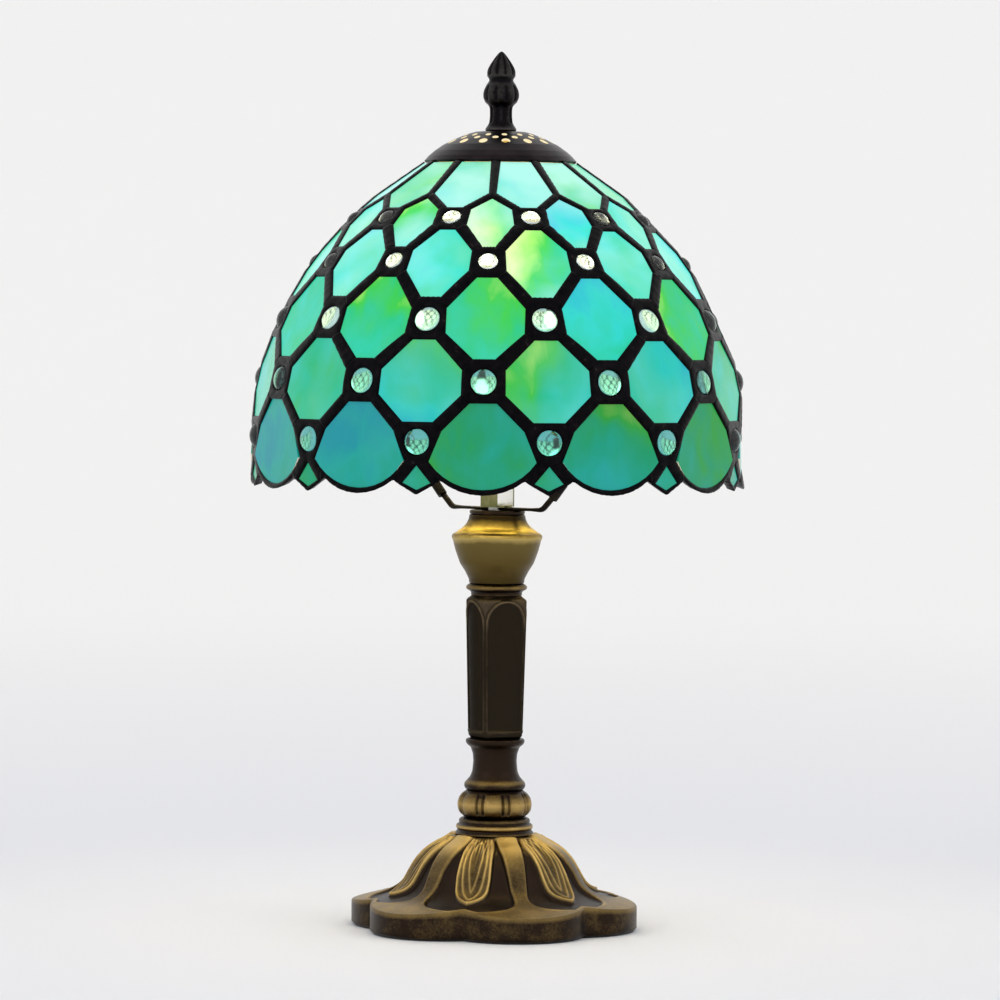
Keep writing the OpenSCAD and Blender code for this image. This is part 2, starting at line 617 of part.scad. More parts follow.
module vase_ring() color([0.4, 0.31, 0.14]) turned([[13.2, column_top_z], [13, 173.6], [14.8, 174.6],
    [15.8, 175.8], [15.6, 177.4], [14.2, vase_foot_z]], column_top_z, vase_foot_z);
module vase_cup() color([0.48, 0.38, 0.16]) difference() {
    turned([[14, vase_foot_z], [14.4, 181], [16.4, 184.4], [19.1, 188.6], [21.4, 195.4], [22.6, 200],
        [23.4, 202.2], [23.3, 203.4], [21.2, 204.6], [17.6, 206.8], [15.6, 209.2], [14.4, 212],
        [14.2, vase_top_z]], vase_foot_z, vase_top_z);
    rotate_extrude() polygon([[0, 184], [10, 184], [14, 188], [18, 195], [19.6, 200], [14, 205], [12, 209],
        [12, 215], [0, 215]]);
}
module cup_lid() color([0.3, 0.24, 0.12]) difference() {
    union() {
        translate([0, 0, vase_top_z]) cylinder(r = 14.2, h = lid_top_z - vase_top_z);
        translate([0, 0, vase_top_z - 2]) cylinder(r = 11.9, h = 3);
    }
    rod_hole(vase_top_z - 2, lid_top_z);
}

// ---------------------------------------------------------------- one sub-part for each name

base_pad();
base_casting();
rod_nut();
rod_washer();
cord_bushing();
lamp_rod();
foot_collar();
knop_casting();
waist_casting();
column_shaft();
vase_ring();
vase_cup();
cup_lid();
harp_saddle();
harp_ferrules();
harp_bow();
harp_seat();
socket_bracket();
bracket_screws();
socket_body();
screw_shell();
centre_contact();
terminal_screws();
bulb_cap();
bulb_insulator();
bulb_tip();
bulb_glass();
bulb_stem();
shade_washer();
shade_top_ring();
shade_cap();
finial();
crown_panes();
shoulder_panes();
upper_panes();
middle_panes();
lower_panes();
scallop_panes();
rim_diamonds();
jewels_1();
jewels_2();
jewels_3();
jewels_4();
jewels_5();
settings_1();
settings_2();
settings_3();
settings_4();
settings_5();
crown_seams();
shoulder_seams();
upper_seams();
middle_seams();
lower_seams();
scallop_seams();
diamond_seams();
rim_bead();
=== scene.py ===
"""Looks of a table lamp: leaded glass shade, vented cap and finial, harp, and a cast stand.

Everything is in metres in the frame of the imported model. Names that end in _mm are in millimetres.
"""

import math

import bpy
import numpy as np
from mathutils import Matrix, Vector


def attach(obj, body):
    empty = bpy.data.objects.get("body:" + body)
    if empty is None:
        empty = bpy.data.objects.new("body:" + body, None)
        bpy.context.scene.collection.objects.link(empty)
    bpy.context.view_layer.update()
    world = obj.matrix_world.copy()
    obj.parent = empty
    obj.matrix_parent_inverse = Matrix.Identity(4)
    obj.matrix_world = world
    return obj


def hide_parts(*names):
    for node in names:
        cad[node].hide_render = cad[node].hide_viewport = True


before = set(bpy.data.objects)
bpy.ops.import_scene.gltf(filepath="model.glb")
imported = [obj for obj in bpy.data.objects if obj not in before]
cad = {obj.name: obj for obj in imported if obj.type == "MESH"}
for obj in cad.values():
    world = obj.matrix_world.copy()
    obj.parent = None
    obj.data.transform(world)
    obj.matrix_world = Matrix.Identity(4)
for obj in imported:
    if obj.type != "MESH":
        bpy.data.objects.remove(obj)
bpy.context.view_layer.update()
MM = 0.001

# ---------------------------------------------------------------- camera, floor and light
# Plain pale studio: a floor that curves up into a wall, a wide soft light from each side and one above.
# The camera stands 2.6 m in front of the lamp, a little above its middle, and is rolled half a degree.

eye = bpy.data.objects.new("camera", bpy.data.cameras.new("camera"))
bpy.context.scene.collection.objects.link(eye)
eye.data.lens = 181.2
eye.data.clip_end = 50
eye.location = (0.00134, -2.595, 0.324)
pitch, roll = math.radians(90 - 2.27), math.radians(0.535)
eye.rotation_euler = (eye.matrix_world.to_3x3().Rotation(pitch, 3, "X")
                      @ eye.matrix_world.to_3x3().Rotation(roll, 3, "Z")).to_euler()
bpy.context.scene.camera = eye
bpy.context.scene.view_settings.view_transform = "Standard"


def add(tree, kind, values=None, **settings):
    """Adds a node. settings are its own properties; values are its sockets, a number or an output each."""
    made = tree.nodes.new(kind)
    for name, value in settings.items():
        setattr(made, name, value)
    for socket, value in (values or {}).items():
        if isinstance(value, bpy.types.NodeSocket):
            tree.links.new(value, made.inputs[socket])
        else:
            made.inputs[socket].default_value = value
    return made


def material(name, **sockets):
    """A material with one Principled shader whose constant sockets are given by name."""
    made = bpy.data.materials.new(name)
    made.use_nodes = True
    shader = made.node_tree.nodes["Principled BSDF"]
    for socket, value in sockets.items():
        shader.inputs[socket.replace("_", " ")].default_value = value
    return made, made.node_tree, shader


def place(tree):
    """The Object coordinates."""
    return add(tree, "ShaderNodeTexCoord").outputs["Object"]


def ramp(tree, fac, stops):
    """A colour ramp with (place, colour) stops."""
    made = add(tree, "ShaderNodeValToRGB", {"Fac": fac})
    elements = made.color_ramp.elements
    while len(elements) < len(stops):
        elements.new(0.5)
    for element, (at, colour) in zip(elements, stops):
        element.position = at
        element.color = (*colour, 1)
    return made.outputs["Color"]


def span(tree, value, low, high, to_low=0.0, to_high=1.0):
    """A value between low and high, moved to another range and held at its ends."""
    return add(tree, "ShaderNodeMapRange", {"Value": value, "From Min": low, "From Max": high,
                                            "To Min": to_low, "To Max": to_high}).outputs[0]


def paint(tree, shader, colour):
    """Links the base colour."""
    tree.links.new(colour, shader.inputs["Base Color"])


def mesh_piece(name, points, faces, look, smooth=True):
    """An object from points in metres and faces, turned right way out if its volume comes out negative."""
    points = np.asarray(points, float).reshape(-1, 3)
    volume = sum((points[f[:, 0]] * np.cross(points[f[:, i]], points[f[:, i + 1]])).sum()
                 for f in faces for i in range(1, f.shape[1] - 1))
    lists = [row for f in faces for row in (f if volume >= 0 else f[:, ::-1]).tolist()]
    mesh = bpy.data.meshes.new(name)
    mesh.from_pydata(points, [], lists)
    mesh.shade_smooth() if smooth else mesh.shade_flat()
    mesh.materials.append(look)
    made = bpy.data.objects.new(name, mesh)
    bpy.context.scene.collection.objects.link(made)
    return made


across = np.linspace(-4, 4, 9)
bend = np.linspace(0, math.pi / 2, 13)
sweep_y = np.concatenate([[-4.0], 2.2 + 1.2 * np.sin(bend), [3.4]])
sweep_z = np.concatenate([[0.0], 1.2 - 1.2 * np.cos(bend), [4.0]])
sheet = np.stack(np.broadcast_arrays(across[None, :], sweep_y[:, None], sweep_z[:, None]), -1)
corner = np.arange(sheet.shape[0] * sheet.shape[1]).reshape(sheet.shape[:2])
sheet_faces = np.stack([corner[:-1, :-1], corner[:-1, 1:], corner[1:, 1:], corner[1:, :-1]], -1)
paper, tree, shader = material("studio_paper_painted_shade", Roughness=0.9)
# Painted shadow: the paper is darker and bluer near the lamp's foot and fades to near white further out.
away = add(tree, "ShaderNodeVectorMath", {0: place(tree)}, operation="LENGTH").outputs["Value"]
away = span(tree, away, 0.2, 2.4)
paint(tree, shader, ramp(tree, away, [(0.0, (0.80, 0.81, 0.855)), (1.0, (0.97, 0.97, 0.97))]))
backdrop = mesh_piece("backdrop", sheet, [sheet_faces.reshape(-1, 4)], paper)

world = bpy.data.worlds.new("studio")
bpy.context.scene.world = world
world.use_nodes = True
world.node_tree.nodes["Background"].inputs["Color"].default_value = (1, 0.995, 0.99, 1)
world.node_tree.nodes["Background"].inputs["Strength"].default_value = 0.895


def soft_light(name, at, aim, size, power, colour=(1, 1, 1)):
    """A square area light at a place, aimed at a point."""
    lamp = bpy.data.lights.new(name, "AREA")
    lamp.energy, lamp.size, lamp.color = power, size, colour
    made = bpy.data.objects.new(name, lamp)
    bpy.context.scene.collection.objects.link(made)
    made.location = at
    direction = Vector(aim) - Vector(at)
    made.rotation_euler = direction.to_track_quat("-Z", "Y").to_euler()


soft_light("window_left", (-2.0, -1.6, 1.6), (0, 0, 0.2), 0.9, 5)
soft_light("window_right", (2.0, -1.2, 1.3), (0, 0, 0.2), 0.7, 3)
soft_light("ceiling", (0, 0.2, 2.6), (0, 0, 0), 1.2, 0.6)

# ---------------------------------------------------------------- foot
# A hollow brass casting with six rounded lobes. Over each notch between lobes a leaf of nested ribs runs
# down the dome. The recesses keep the dark brown patina and the high spots are rubbed back to gold. The
# upper part of the dome and the tops of the panels between the leaves are lighter still: a painted
# highlight where light falls from above.

DARK_BROWN = (0.026, 0.017, 0.012)
OLD_GOLD = (0.62, 0.42, 0.14)


def maths(tree, operation, *terms):
    """The output of one Math node over the terms."""
    return add(tree, "ShaderNodeMath", dict(enumerate(terms)), operation=operation).outputs[0]


def grain(tree, scale, detail=3, roughness=0.5, distortion=0.0, at=None):
    """Noise of a given scale per metre."""
    return add(tree, "ShaderNodeTexNoise", {"Vector": at or place(tree), "Scale": scale, "Detail": detail,
               "Roughness": roughness, "Distortion": distortion}).outputs["Fac"]


def sway(tree, noise, amount, base):
    """The base, raised where the noise is above a half and lowered where it is below."""
    return maths(tree, "MULTIPLY_ADD", maths(tree, "SUBTRACT", noise, 0.5), amount, base)


def roughen(tree, shader, fac, low, high):
    """Links the roughness to a range of a noise."""
    tree.links.new(span(tree, fac, 0.0, 1.0, low, high), shader.inputs["Roughness"])


def bump(tree, shader, height, strength, depth):
    """Links the normal to a height, depth in metres."""
    made = add(tree, "ShaderNodeBump", {"Height": height, "Strength": strength, "Distance": depth})
    tree.links.new(made.outputs[0], shader.inputs["Normal"])


def antique_metal(name, dark=DARK_BROWN, gold=OLD_GOLD, wear=1.0, even=0.0, edge=1.0):
    """Cast metal: the piece's own 'rubbed' attribute, broken up by noise, mixes patina and rubbed gold.
    edge dims the shine where the surface turns away."""
    made, tree, shader = material(name, Metallic=1.0, Specular_Tint=(edge, edge, edge, 1))
    rubbed = add(tree, "ShaderNodeAttribute", attribute_name="rubbed").outputs["Fac"]
    cloud = grain(tree, 90, 4, 0.6)
    fine = grain(tree, 900, 3, 0.6)
    worn = maths(tree, "MULTIPLY_ADD", rubbed, wear, even)
    worn = sway(tree, cloud, 0.5, worn)
    worn = sway(tree, fine, 0.25, worn)
    middle = tuple(0.7 * d + 0.3 * g for d, g in zip(dark, gold))
    paint(tree, shader, ramp(tree, worn, [(0.12, dark), (0.5, middle), (0.95, gold)]))
    roughen(tree, shader, cloud, 0.3, 0.5)
    bump(tree, shader, fine, 0.25, 0.0003)
    return made


def lay_out(rows, wrap=False):
    """Faces between neighbouring closed rings of points; wrap joins the last ring to the first."""
    count, size = rows.shape[:2]
    index = np.arange(count * size).reshape(count, size)
    low = index if wrap else index[:-1]
    high = np.roll(index, -1, 0) if wrap else index[1:]
    return np.stack([low, np.roll(low, -1, 1), np.roll(high, -1, 1), high], -1).reshape(-1, 4)


def skin(name, shells, look, wrap=False, smooth=True):
    """Closed shells from arrays of rings of points in mm: quads join the rings and a fan closes each end."""
    points, quads, fans, start = [], [], [], 0
    for rows in shells:
        size = rows.shape[1]
        quads.append(lay_out(rows, wrap) + start)
        points.append(rows.reshape(-1, 3))
        start_next = start + rows.shape[0] * size
        if not wrap:
            first, last = start + np.arange(size), start_next - size + np.arange(size)
            points.append(np.stack([rows[0].mean(0), rows[-1].mean(0)]))
            fans.append(np.stack([np.full(size, start_next), np.roll(first, -1), first], -1))
            fans.append(np.stack([np.full(size, start_next + 1), last, np.roll(last, -1)], -1))
            start_next += 2
        start = start_next
    faces = [np.concatenate(quads)] + ([np.concatenate(fans)] if fans else [])
    return mesh_piece(name, np.concatenate(points) * MM, faces, look, smooth)


def rub(piece, rubbed):
    """Stores how far the patina is rubbed off at each point; the points at closed ends get none."""
    values = np.zeros(len(piece.data.vertices), np.float32)
    values[:rubbed.size] = rubbed.ravel()
    piece.data.attributes.new("rubbed", "FLOAT", "POINT").data.foreach_set("value", values)


def soften(values, reach):
    """Running mean over 2 * reach + 1 neighbours along the last axis, its ends held."""
    padded = np.pad(values, [(0, 0)] * (values.ndim - 1) + [(reach, reach)], "edge")
    return np.stack([padded[..., i:i + values.shape[-1]] for i in range(2 * reach + 1)]).mean(0)


def rounded(outline, step=0.35, reach=2):
    """An outline of (radius, height) points walked in even steps, its corners rounded by a running mean."""
    outline = np.array(outline, float)
    walked = np.concatenate([[0], np.cumsum(np.hypot(*np.diff(outline, axis=0).T))])
    at = np.linspace(0, walked[-1], max(int(walked[-1] / step), 8))
    even = np.stack([np.interp(at, walked, outline[:, 0]), np.interp(at, walked, outline[:, 1])])
    return soften(soften(even, reach), reach).T


def turn_out(angle, radius, height):
    """Points at an angle from the front towards the right, a radius and a height."""
    angle, radius, height = np.broadcast_arrays(angle, radius, height)
    return np.stack([radius * np.sin(angle), -radius * np.cos(angle), height], -1)


def hump(x, centre, width):
    """A smooth bump of height 1."""
    return np.exp(-((x - centre) / width) ** 2)


def step_up(x, low, high):
    """A smooth rise from 0 at low to 1 at high."""
    u = np.clip((x - low) / (high - low), 0, 1)
    return u * u * (3 - 2 * u)


felt, tree, shader = material("black_felt", Roughness=0.95, Sheen_Weight=0.4)
fibre = grain(tree, 2500, 2)
paint(tree, shader, ramp(tree, fibre, [(0.3, (0.01, 0.009, 0.008)), (0.7, (0.035, 0.032, 0.03))]))
bump(tree, shader, fibre, 0.5, 0.0004)
cad["base_pad"].data.materials[0] = felt

LOBE_R_MM, LOBE_AT_MM = 36.7, 38.3
FOOT_TURN = math.radians(16)
LOBE_STEP = math.radians(60)
TOP_R_MM, FALL_R_MM = 21.4, 72
EDGE_MM = 1.2
AROUND = 640
around = np.linspace(0, 2 * math.pi, AROUND + 1)[:-1]
from_lobe = (around - FOOT_TURN + LOBE_STEP / 2) % LOBE_STEP - LOBE_STEP / 2
from_notch = (around - FOOT_TURN) % LOBE_STEP - LOBE_STEP / 2
rim_mm = LOBE_AT_MM * np.cos(from_lobe) + np.sqrt(LOBE_R_MM ** 2 - (LOBE_AT_MM * np.sin(from_lobe)) ** 2)
rim_mm = soften(np.tile(rim_mm, 3), 3)[AROUND:2 * AROUND]

dome = rounded([[TOP_R_MM, 48.5], [25, 45.6], [30.4, 43], [35.2, 39.8], [39.4, 35.4], [42.4, 30.6],
                [45.2, 25.4], [47.2, 22.4], [50.6, 19.8], [56, 17.6], [63, 16], [70.5, 14.2], [76, 12.4]],
               0.25, 8)
way = np.linspace(0, 1, 132)[:, None]
r_top = TOP_R_MM + (rim_mm[None, :] - EDGE_MM - TOP_R_MM) * (0.42 * way + 0.58 * way ** 1.25)
z_top = np.interp(r_top, dome[:, 0], dome[:, 1])
side = np.abs(r_top * from_notch[None, :])
fall = (r_top - TOP_R_MM) / (FALL_R_MM - TOP_R_MM)


def inside_of(falls, widths):
    """Distance in mm inside an outline whose half width follows the fall, measured square to the outline."""
    at = np.linspace(0, 1, 201)
    width = soften(np.interp(at, falls, widths)[None, :], 3)[0]
    steep = np.gradient(width, (FALL_R_MM - TOP_R_MM) / 200)
    return (np.interp(fall, at, width) - side) / np.hypot(1, np.interp(fall, at, steep))


leaf = inside_of([0, 0.03, 0.1, 0.2, 0.43, 0.51, 0.57, 0.62, 0.66, 0.69, 0.72],
                 [4.8, 5.5, 6.8, 8.0, 9.4, 9.0, 7.6, 5.4, 3.0, 0.3, -3])
blade = inside_of([0, 0.1, 0.2, 0.35, 0.45, 0.52, 0.58, 0.62, 0.66],
                  [2.6, 4.2, 5.4, 6.3, 5.8, 4.5, 2.4, 0.2, -3])
lens = inside_of([0.02, 0.06, 0.12, 0.2, 0.3, 0.4, 0.48, 0.52, 0.56],
                 [-2, 0.2, 1.6, 2.8, 3.3, 2.6, 1.2, 0.1, -3])
slot = inside_of([0.08, 0.12, 0.2, 0.28, 0.36, 0.42, 0.46], [-2, 0.1, 1.1, 1.4, 1.0, 0.1, -2])
bell_at = np.linspace(0, 1, 41)
bell_deg = np.interp(bell_at, [0, 0.1, 0.25, 0.4, 0.55, 0.64, 0.71, 0.77, 0.82, 0.86, 0.9, 1],
                     [15, 17.5, 20.5, 23, 25.2, 25.2, 23.6, 21, 17, 10, -2, -10])
bell_mm = np.radians(bell_deg) * (TOP_R_MM + (FALL_R_MM - TOP_R_MM) * bell_at)
to_rim = rim_mm[None, :] - r_top
bell = np.minimum(inside_of(bell_at, bell_mm), to_rim - 3.2)
start = step_up(fall, 0.0, 0.05) * step_up(to_rim, 1.2, 2.6)
on_leaf = step_up(leaf, -0.2, 0.5) * start
ribs = hump(leaf, 1.0, 0.75) + 0.75 * hump(blade, 0.5, 0.6) + 0.65 * hump(lens, 0.2, 0.5)
ribs = (ribs - 0.7 * step_up(slot, 0.0, 0.7)) * start
beyond = step_up(bell, 0.1, 1.6) * start
veins = 0.22 * np.cos(side * 4.2) * (1 - hump(leaf, 0.6, 1.2)) * beyond * (1 - step_up(fall, 0.16, 0.34))
recess = beyond * (1 - on_leaf) * (0.25 + 0.75 * step_up(fall, 0.1, 0.34))
lip = hump(bell, -0.6, 0.7) * start
groove = hump(bell, 0.5, 0.6) * start
panel_half = np.radians(30 - np.minimum(np.interp(fall, bell_at, bell_deg), 28))
panel_in = np.clip((LOBE_STEP / 2 - np.abs(from_notch[None, :])) / panel_half, 0, 1)
panel = np.sqrt(1 - panel_in ** 4 * 0.98) * (1 - step_up(fall, 0.42, 0.8)) * (bell < 0.6)
relief = 1.15 * ribs + 0.6 * on_leaf + veins - 1.1 * recess + 0.35 * lip - 0.8 * groove + 1.3 * panel
relief = soften(((np.roll(relief, 1, 1) + 2 * relief + np.roll(relief, -1, 1)) / 4).T, 1).T
slope = np.gradient(dome[:, 1], dome[:, 0])
lean = np.interp(r_top, dome[:, 0], slope)
tilt = 1 / np.hypot(1, lean)
out_r = r_top - relief * lean * tilt
out_z = z_top + relief * tilt

wall = np.linspace(0, 1, 7)[:, None]
corner_a = np.linspace(0, math.pi / 2, 6)[:, None]
edge_r = rim_mm[None, :] - EDGE_MM + EDGE_MM * np.sin(corner_a)
edge_h = out_z[-1][None, :] - EDGE_MM + EDGE_MM * np.cos(corner_a)
wall_z = edge_h[-1][None, :] + (1.8 - edge_h[-1][None, :]) * wall
wall_r = np.broadcast_to(rim_mm[None, :], wall_z.shape)
foot_r = np.concatenate([out_r, edge_r[1:], wall_r[1:], rim_mm[None, :] - 0.8])[::-1]
foot_h = np.concatenate([out_z, edge_h[1:], wall_z[1:], np.full((1, AROUND), 1.02)])[::-1]
foot_rows = turn_out(around[None, :], foot_r, foot_h)
bronze = antique_metal("antique_cast_metal")
foot = skin("foot", [foot_rows], bronze)
# Partly painted highlight: the upper dome, and more so the top of each panel, is made lighter as if lit from
# above; the ribs, lip and edges are rubbed back as wear.
upper = 1 - step_up(fall, 0.12, 0.4)
high = 0.26 + 0.85 * np.clip(ribs, 0, 1) * (1 - 0.25 * step_up(fall, 0.3, 0.5))
high = high + 0.25 * upper * (1 - recess)
high = high + 0.45 * panel * upper + 0.2 * lip - 0.5 * groove - 0.3 * recess + 1.4 * veins
high = high + 0.3 * step_up(fall, 0.6, 0.85) * (1 - recess)
extra = foot_rows.shape[0] - high.shape[0]
edge_wear = np.concatenate([np.full(5, 0.42), np.full(extra - 5, 0.14)])[:, None] * np.ones((1, AROUND))
rub(foot, np.concatenate([high, edge_wear])[::-1])
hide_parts("base_casting")
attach(foot, "root")

rubber, tree, shader = material("black_rubber", Base_Color=(0.02, 0.02, 0.02, 1), Roughness=0.7)
bump(tree, shader, grain(tree, 3000), 0.2, 0.0002)
cad["cord_bushing"].data.materials[0] = rubber

# ---------------------------------------------------------------- collar, knop and waist
# Three cast rings threaded on the rod: a collar with two beads, a knop with eight bosses between double
# grooves, and a slim waist. Same metal as the foot, darker towards the top.


def lathe(name, outline, look, body, node, wear=None, shape=None, turns=192, step=0.35, reach=2):
    """A closed turned piece from its outline, bottom to top. shape(angle, height) scales the radius. The
    patina is rubbed off where the outline bulges, and where wear(radius, height) says."""
    outline = rounded(outline, step, reach)
    angle = np.linspace(0, 2 * math.pi, turns + 1)[:-1][None, :]
    r, z = outline[:, 0][:, None], outline[:, 1][:, None]
    scale = shape(angle, z) if shape else np.ones((len(r), turns))
    rows = turn_out(angle, r * scale, z)
    made = skin(name, [rows], look)
    proud = r[:, 0] - soften(r[:, 0], 6)
    rubbed = np.clip(0.25 + 0.9 * proud, 0, 1)[:, None] * np.ones((1, turns)) + 3.0 * (scale - scale.max())
    rub(made, np.clip(rubbed if wear is None else wear(r, z) + rubbed - 0.25, 0, 1))
    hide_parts(node)
    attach(made, body)
    return made


lathe("collar", [[6, 48.5], [20.4, 48.6], [19.9, 49.8], [19.2, 50.3], [19.0, 50.9], [19.9, 51.8],
                 [19.9, 53.0], [18.8, 53.9], [18.0, 54.3], [18.5, 55.2], [18.2, 56.2], [17.2, 56.9], [6, 57]],
      bronze, "root", "foot_collar", lambda r, z: 0.1 + 0.5 * hump(z, 52.5, 1.0), step=0.2)

BOSSES = 8
BOSS_TURN = math.radians(-3)


def knop_shape(angle, z):
    """Eight bosses: two narrow grooves at each join, a rib between them, fading out at top and bottom."""
    pitch = 2 * math.pi / BOSSES
    off = np.abs((angle - BOSS_TURN) % pitch - pitch / 2) * 18.5
    fade = step_up(z, 58.2, 60.4) * (1 - step_up(z, 69.0, 70.6))
    cut = 0.085 * hump(off, 1.7, 0.75) + 0.03 * hump(off, 0, 0.5)
    crown = 0.02 * hump(off, 7.2, 3.4)
    return 1 + fade * (crown - cut)


lathe("knop", [[6, 57], [15.6, 57.1], [16.2, 58], [17.6, 59], [18.6, 61.4], [18.9, 64.3], [18.2, 67.2],
               [16.4, 69.8], [15.2, 70.6], [14.6, 71.4], [6, 71.5]], bronze, "root", "knop_casting",
      lambda r, z: 0.14 + 0.56 * hump(z, 64.0, 3.8), knop_shape, 384, 0.25)
dark_bronze_cast = antique_metal("dark_cast_metal", wear=0.55, even=-0.05)
lathe("waist", [[6, 71.5], [15.0, 71.6], [15.9, 73.2], [15.7, 75.0], [14.4, 76.4], [12.8, 78.2], [11.7, 81],
                [11.2, 86.2], [11.5, 90], [12.4, 92.6], [12.6, 93.4], [14.6, 94.9], [15.3, 96.2],
                [15.0, 97.8], [6, 98]], dark_bronze_cast, "root", "waist_casting",
      lambda r, z: 0.1 + 0.7 * hump(z, 75.6, 1.3), step=0.25)

# ---------------------------------------------------------------- column
# Hollow casting with four bulging sides, wider at the top, with a round-headed sunk panel on each side and
# softened corners. Almost black, with a little brown gold on the corners and round the heads.

COLUMN_Z, COLUMN_TOP_Z = 98.0, 172.0
COLUMN_TURN = math.radians(-21)
SIDES = 4
FACE_OUT = 0.84


def column_rows(turns=384, levels=190):
    """Rings of a four-sided section: the corner's radius times 0.84 in the middle of a side, rising with the
    square of the angle to 1 at the corner, softened there, less the depth of the panel where the point lies
    in it."""
    angle = np.linspace(0, 2 * math.pi, turns + 1)[:-1][None, :]
    z = np.linspace(COLUMN_Z, COLUMN_TOP_Z, levels)[:, None]
    up = (z - COLUMN_Z) / (COLUMN_TOP_Z - COLUMN_Z)
    corner_r = 15.1 + 2.0 * up
    pitch = 2 * math.pi / SIDES
    off = (angle - COLUMN_TURN) % pitch - pitch / 2
    section = corner_r * (FACE_OUT + (1 - FACE_OUT) * (off / (pitch / 2)) ** 2)
    r = -0.35 * np.log(np.exp(-section / 0.35) + np.exp(-(corner_r - 0.5) / 0.35))
    across_mm = section * np.sin(off)
    half = corner_r * math.sin(pitch / 2) - 1.3
    spring_z, head, foot_z = 157.0, 11.8, 102.4
    arch = np.hypot(across_mm / half, np.maximum(z - spring_z, 0) / head)
    past = np.maximum((arch - 1) * half, foot_z - z)
    in_panel = step_up(-past, 0.0, 0.8)
    lip = hump(past, 0.25, 0.4)
    groove = hump(past, 1.35, 0.45) * step_up(z, 150, 158)
    bead = hump(z, foot_z - 0.9, 0.6) * (1 - step_up(np.abs(across_mm), half - 0.4, half))
    spandrel = (1 - in_panel) * step_up(z, 152, 160)
    ends = 1.0 * (1 - step_up(z, COLUMN_Z, COLUMN_Z + 1.8))
    ends = ends + 2.9 * step_up(z, COLUMN_TOP_Z - 3.8, COLUMN_TOP_Z) ** 2
    r = r - 0.85 * in_panel + 0.25 * lip + 0.35 * bead - 0.4 * groove - ends
    worn = 0.12 + 0.2 * lip + 0.2 * bead - 0.08 * in_panel + 0.42 * spandrel - 0.3 * groove
    return turn_out(angle, r, z), worn


blackened = antique_metal("blackened_cast_metal", (0.022, 0.017, 0.011), (0.21, 0.155, 0.095), 0.9, edge=0.5)
rows, worn = column_rows()
column = skin("column", [rows], blackened)
rub(column, np.clip(worn, 0, 1))
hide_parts("column_shaft")
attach(column, "root")

# ---------------------------------------------------------------- vase
# A ring, a spun vase-shaped cup and its lid, clamped on the rod. The cup is aged brass with fine turning
# marks, brown below, with a bright band on its shoulder that is a painted highlight.

lathe("vase_foot_ring", [[6, 172], [13.4, 172.1], [13.0, 173.4], [13.8, 174.3], [15.6, 175.2], [15.9, 176.4],
                         [15.0, 177.4], [14.2, 177.9], [6, 178]], dark_bronze_cast, "root", "vase_ring",
      lambda r, z: 0.25 + 0.5 * hump(z, 176.3, 0.9), step=0.2)


def vector(tree, operation, a, b):
    """The output of one Vector Math node."""
    return add(tree, "ShaderNodeVectorMath", {0: a, 1: b}, operation=operation).outputs[0]


def height_of(tree, at=None):
    """The Z of a vector, or of the Object coordinates."""
    return add(tree, "ShaderNodeSeparateXYZ", {0: at or place(tree)}).outputs["Z"]


def spun_brass(name):
    """Aged brass: bands that follow the height, a brown cast below and fine turning marks in the bump. The
    bright band where the shoulder faces up is a painted highlight.
    """
    made, tree, shader = material(name, Metallic=1.0, Anisotropic=0.3)
    at = place(tree)
    cloud = grain(tree, 60, 4, 0.6)
    marks = grain(tree, 1.0, 2, 0.6, at=vector(tree, "MULTIPLY", at, (3, 3, 2600)))
    level = sway(tree, cloud, 0.12, span(tree, height_of(tree, at), 0.178, 0.214))
    # Painted highlight: the bright yellow stop at 0.78 lies on the shoulder's upward face, under the lit
    # shade.
    paint(tree, shader, ramp(tree, level, [
        (0.0, (0.05, 0.033, 0.01)), (0.25, (0.1, 0.07, 0.02)), (0.58, (0.15, 0.11, 0.034)),
        (0.66, (0.5, 0.37, 0.12)), (0.71, (0.17, 0.11, 0.025)), (0.78, (0.95, 0.64, 0.09)),
        (0.84, (0.3, 0.2, 0.04)), (0.93, (0.03, 0.02, 0.008))]))
    roughen(tree, shader, cloud, 0.28, 0.42)
    bump(tree, shader, marks, 0.15, 0.0002)
    return made


lathe("vase", [[6, 178], [14.2, 178.1], [14.4, 180.4], [16.3, 184.2], [19.1, 188.6], [21.4, 195.0],
               [22.6, 199.6], [22.7, 200.4], [23.3, 201.2], [23.5, 202.4], [22.9, 203.6], [20.9, 204.5],
               [20.3, 205.2], [18.1, 206.6], [16.0, 208.8], [14.8, 211.2], [14.3, 213.8], [6, 214]],
      spun_brass("aged_brass_painted_highlight"), "root", "vase_cup", step=0.25)
lathe("vase_lid", [[6, 212], [11.8, 212.1], [12, 213.9], [14.2, 214.1], [14.3, 215.4], [13.8, 215.95],
                   [6, 216]], dark_bronze_cast, "root", "cup_lid",
      lambda r, z: 0.1 + 0 * r, step=0.15, reach=1)

# ---------------------------------------------------------------- harp
# Spring steel wire bent to a bow, dropped into the two stems of a pressed saddle and locked there by
# ferrules. A brass boss on the crown carries the shade and the finial's stud. Dark bronze lacquer.



def mottled(name, scale, detail, dark, light, sheen, top=0.7, **sockets):
    """A finish whose colour runs from dark to light over a noise, and its roughness over the range given."""
    made, tree, shader = material(name, Metallic=1.0, **sockets)
    cloud = grain(tree, scale, detail)
    paint(tree, shader, ramp(tree, cloud, [(0.3, dark), (top, light)]))
    roughen(tree, shader, cloud, *sheen)
    return made, tree, shader


lacquer, tree, shader = mottled("dark_bronze_lacquer", 160, 4, (0.006, 0.005, 0.005), (0.024, 0.019, 0.014),
                                (0.3, 0.45), 0.75)
bump(tree, shader, grain(tree, 1500), 0.15, 0.0002)

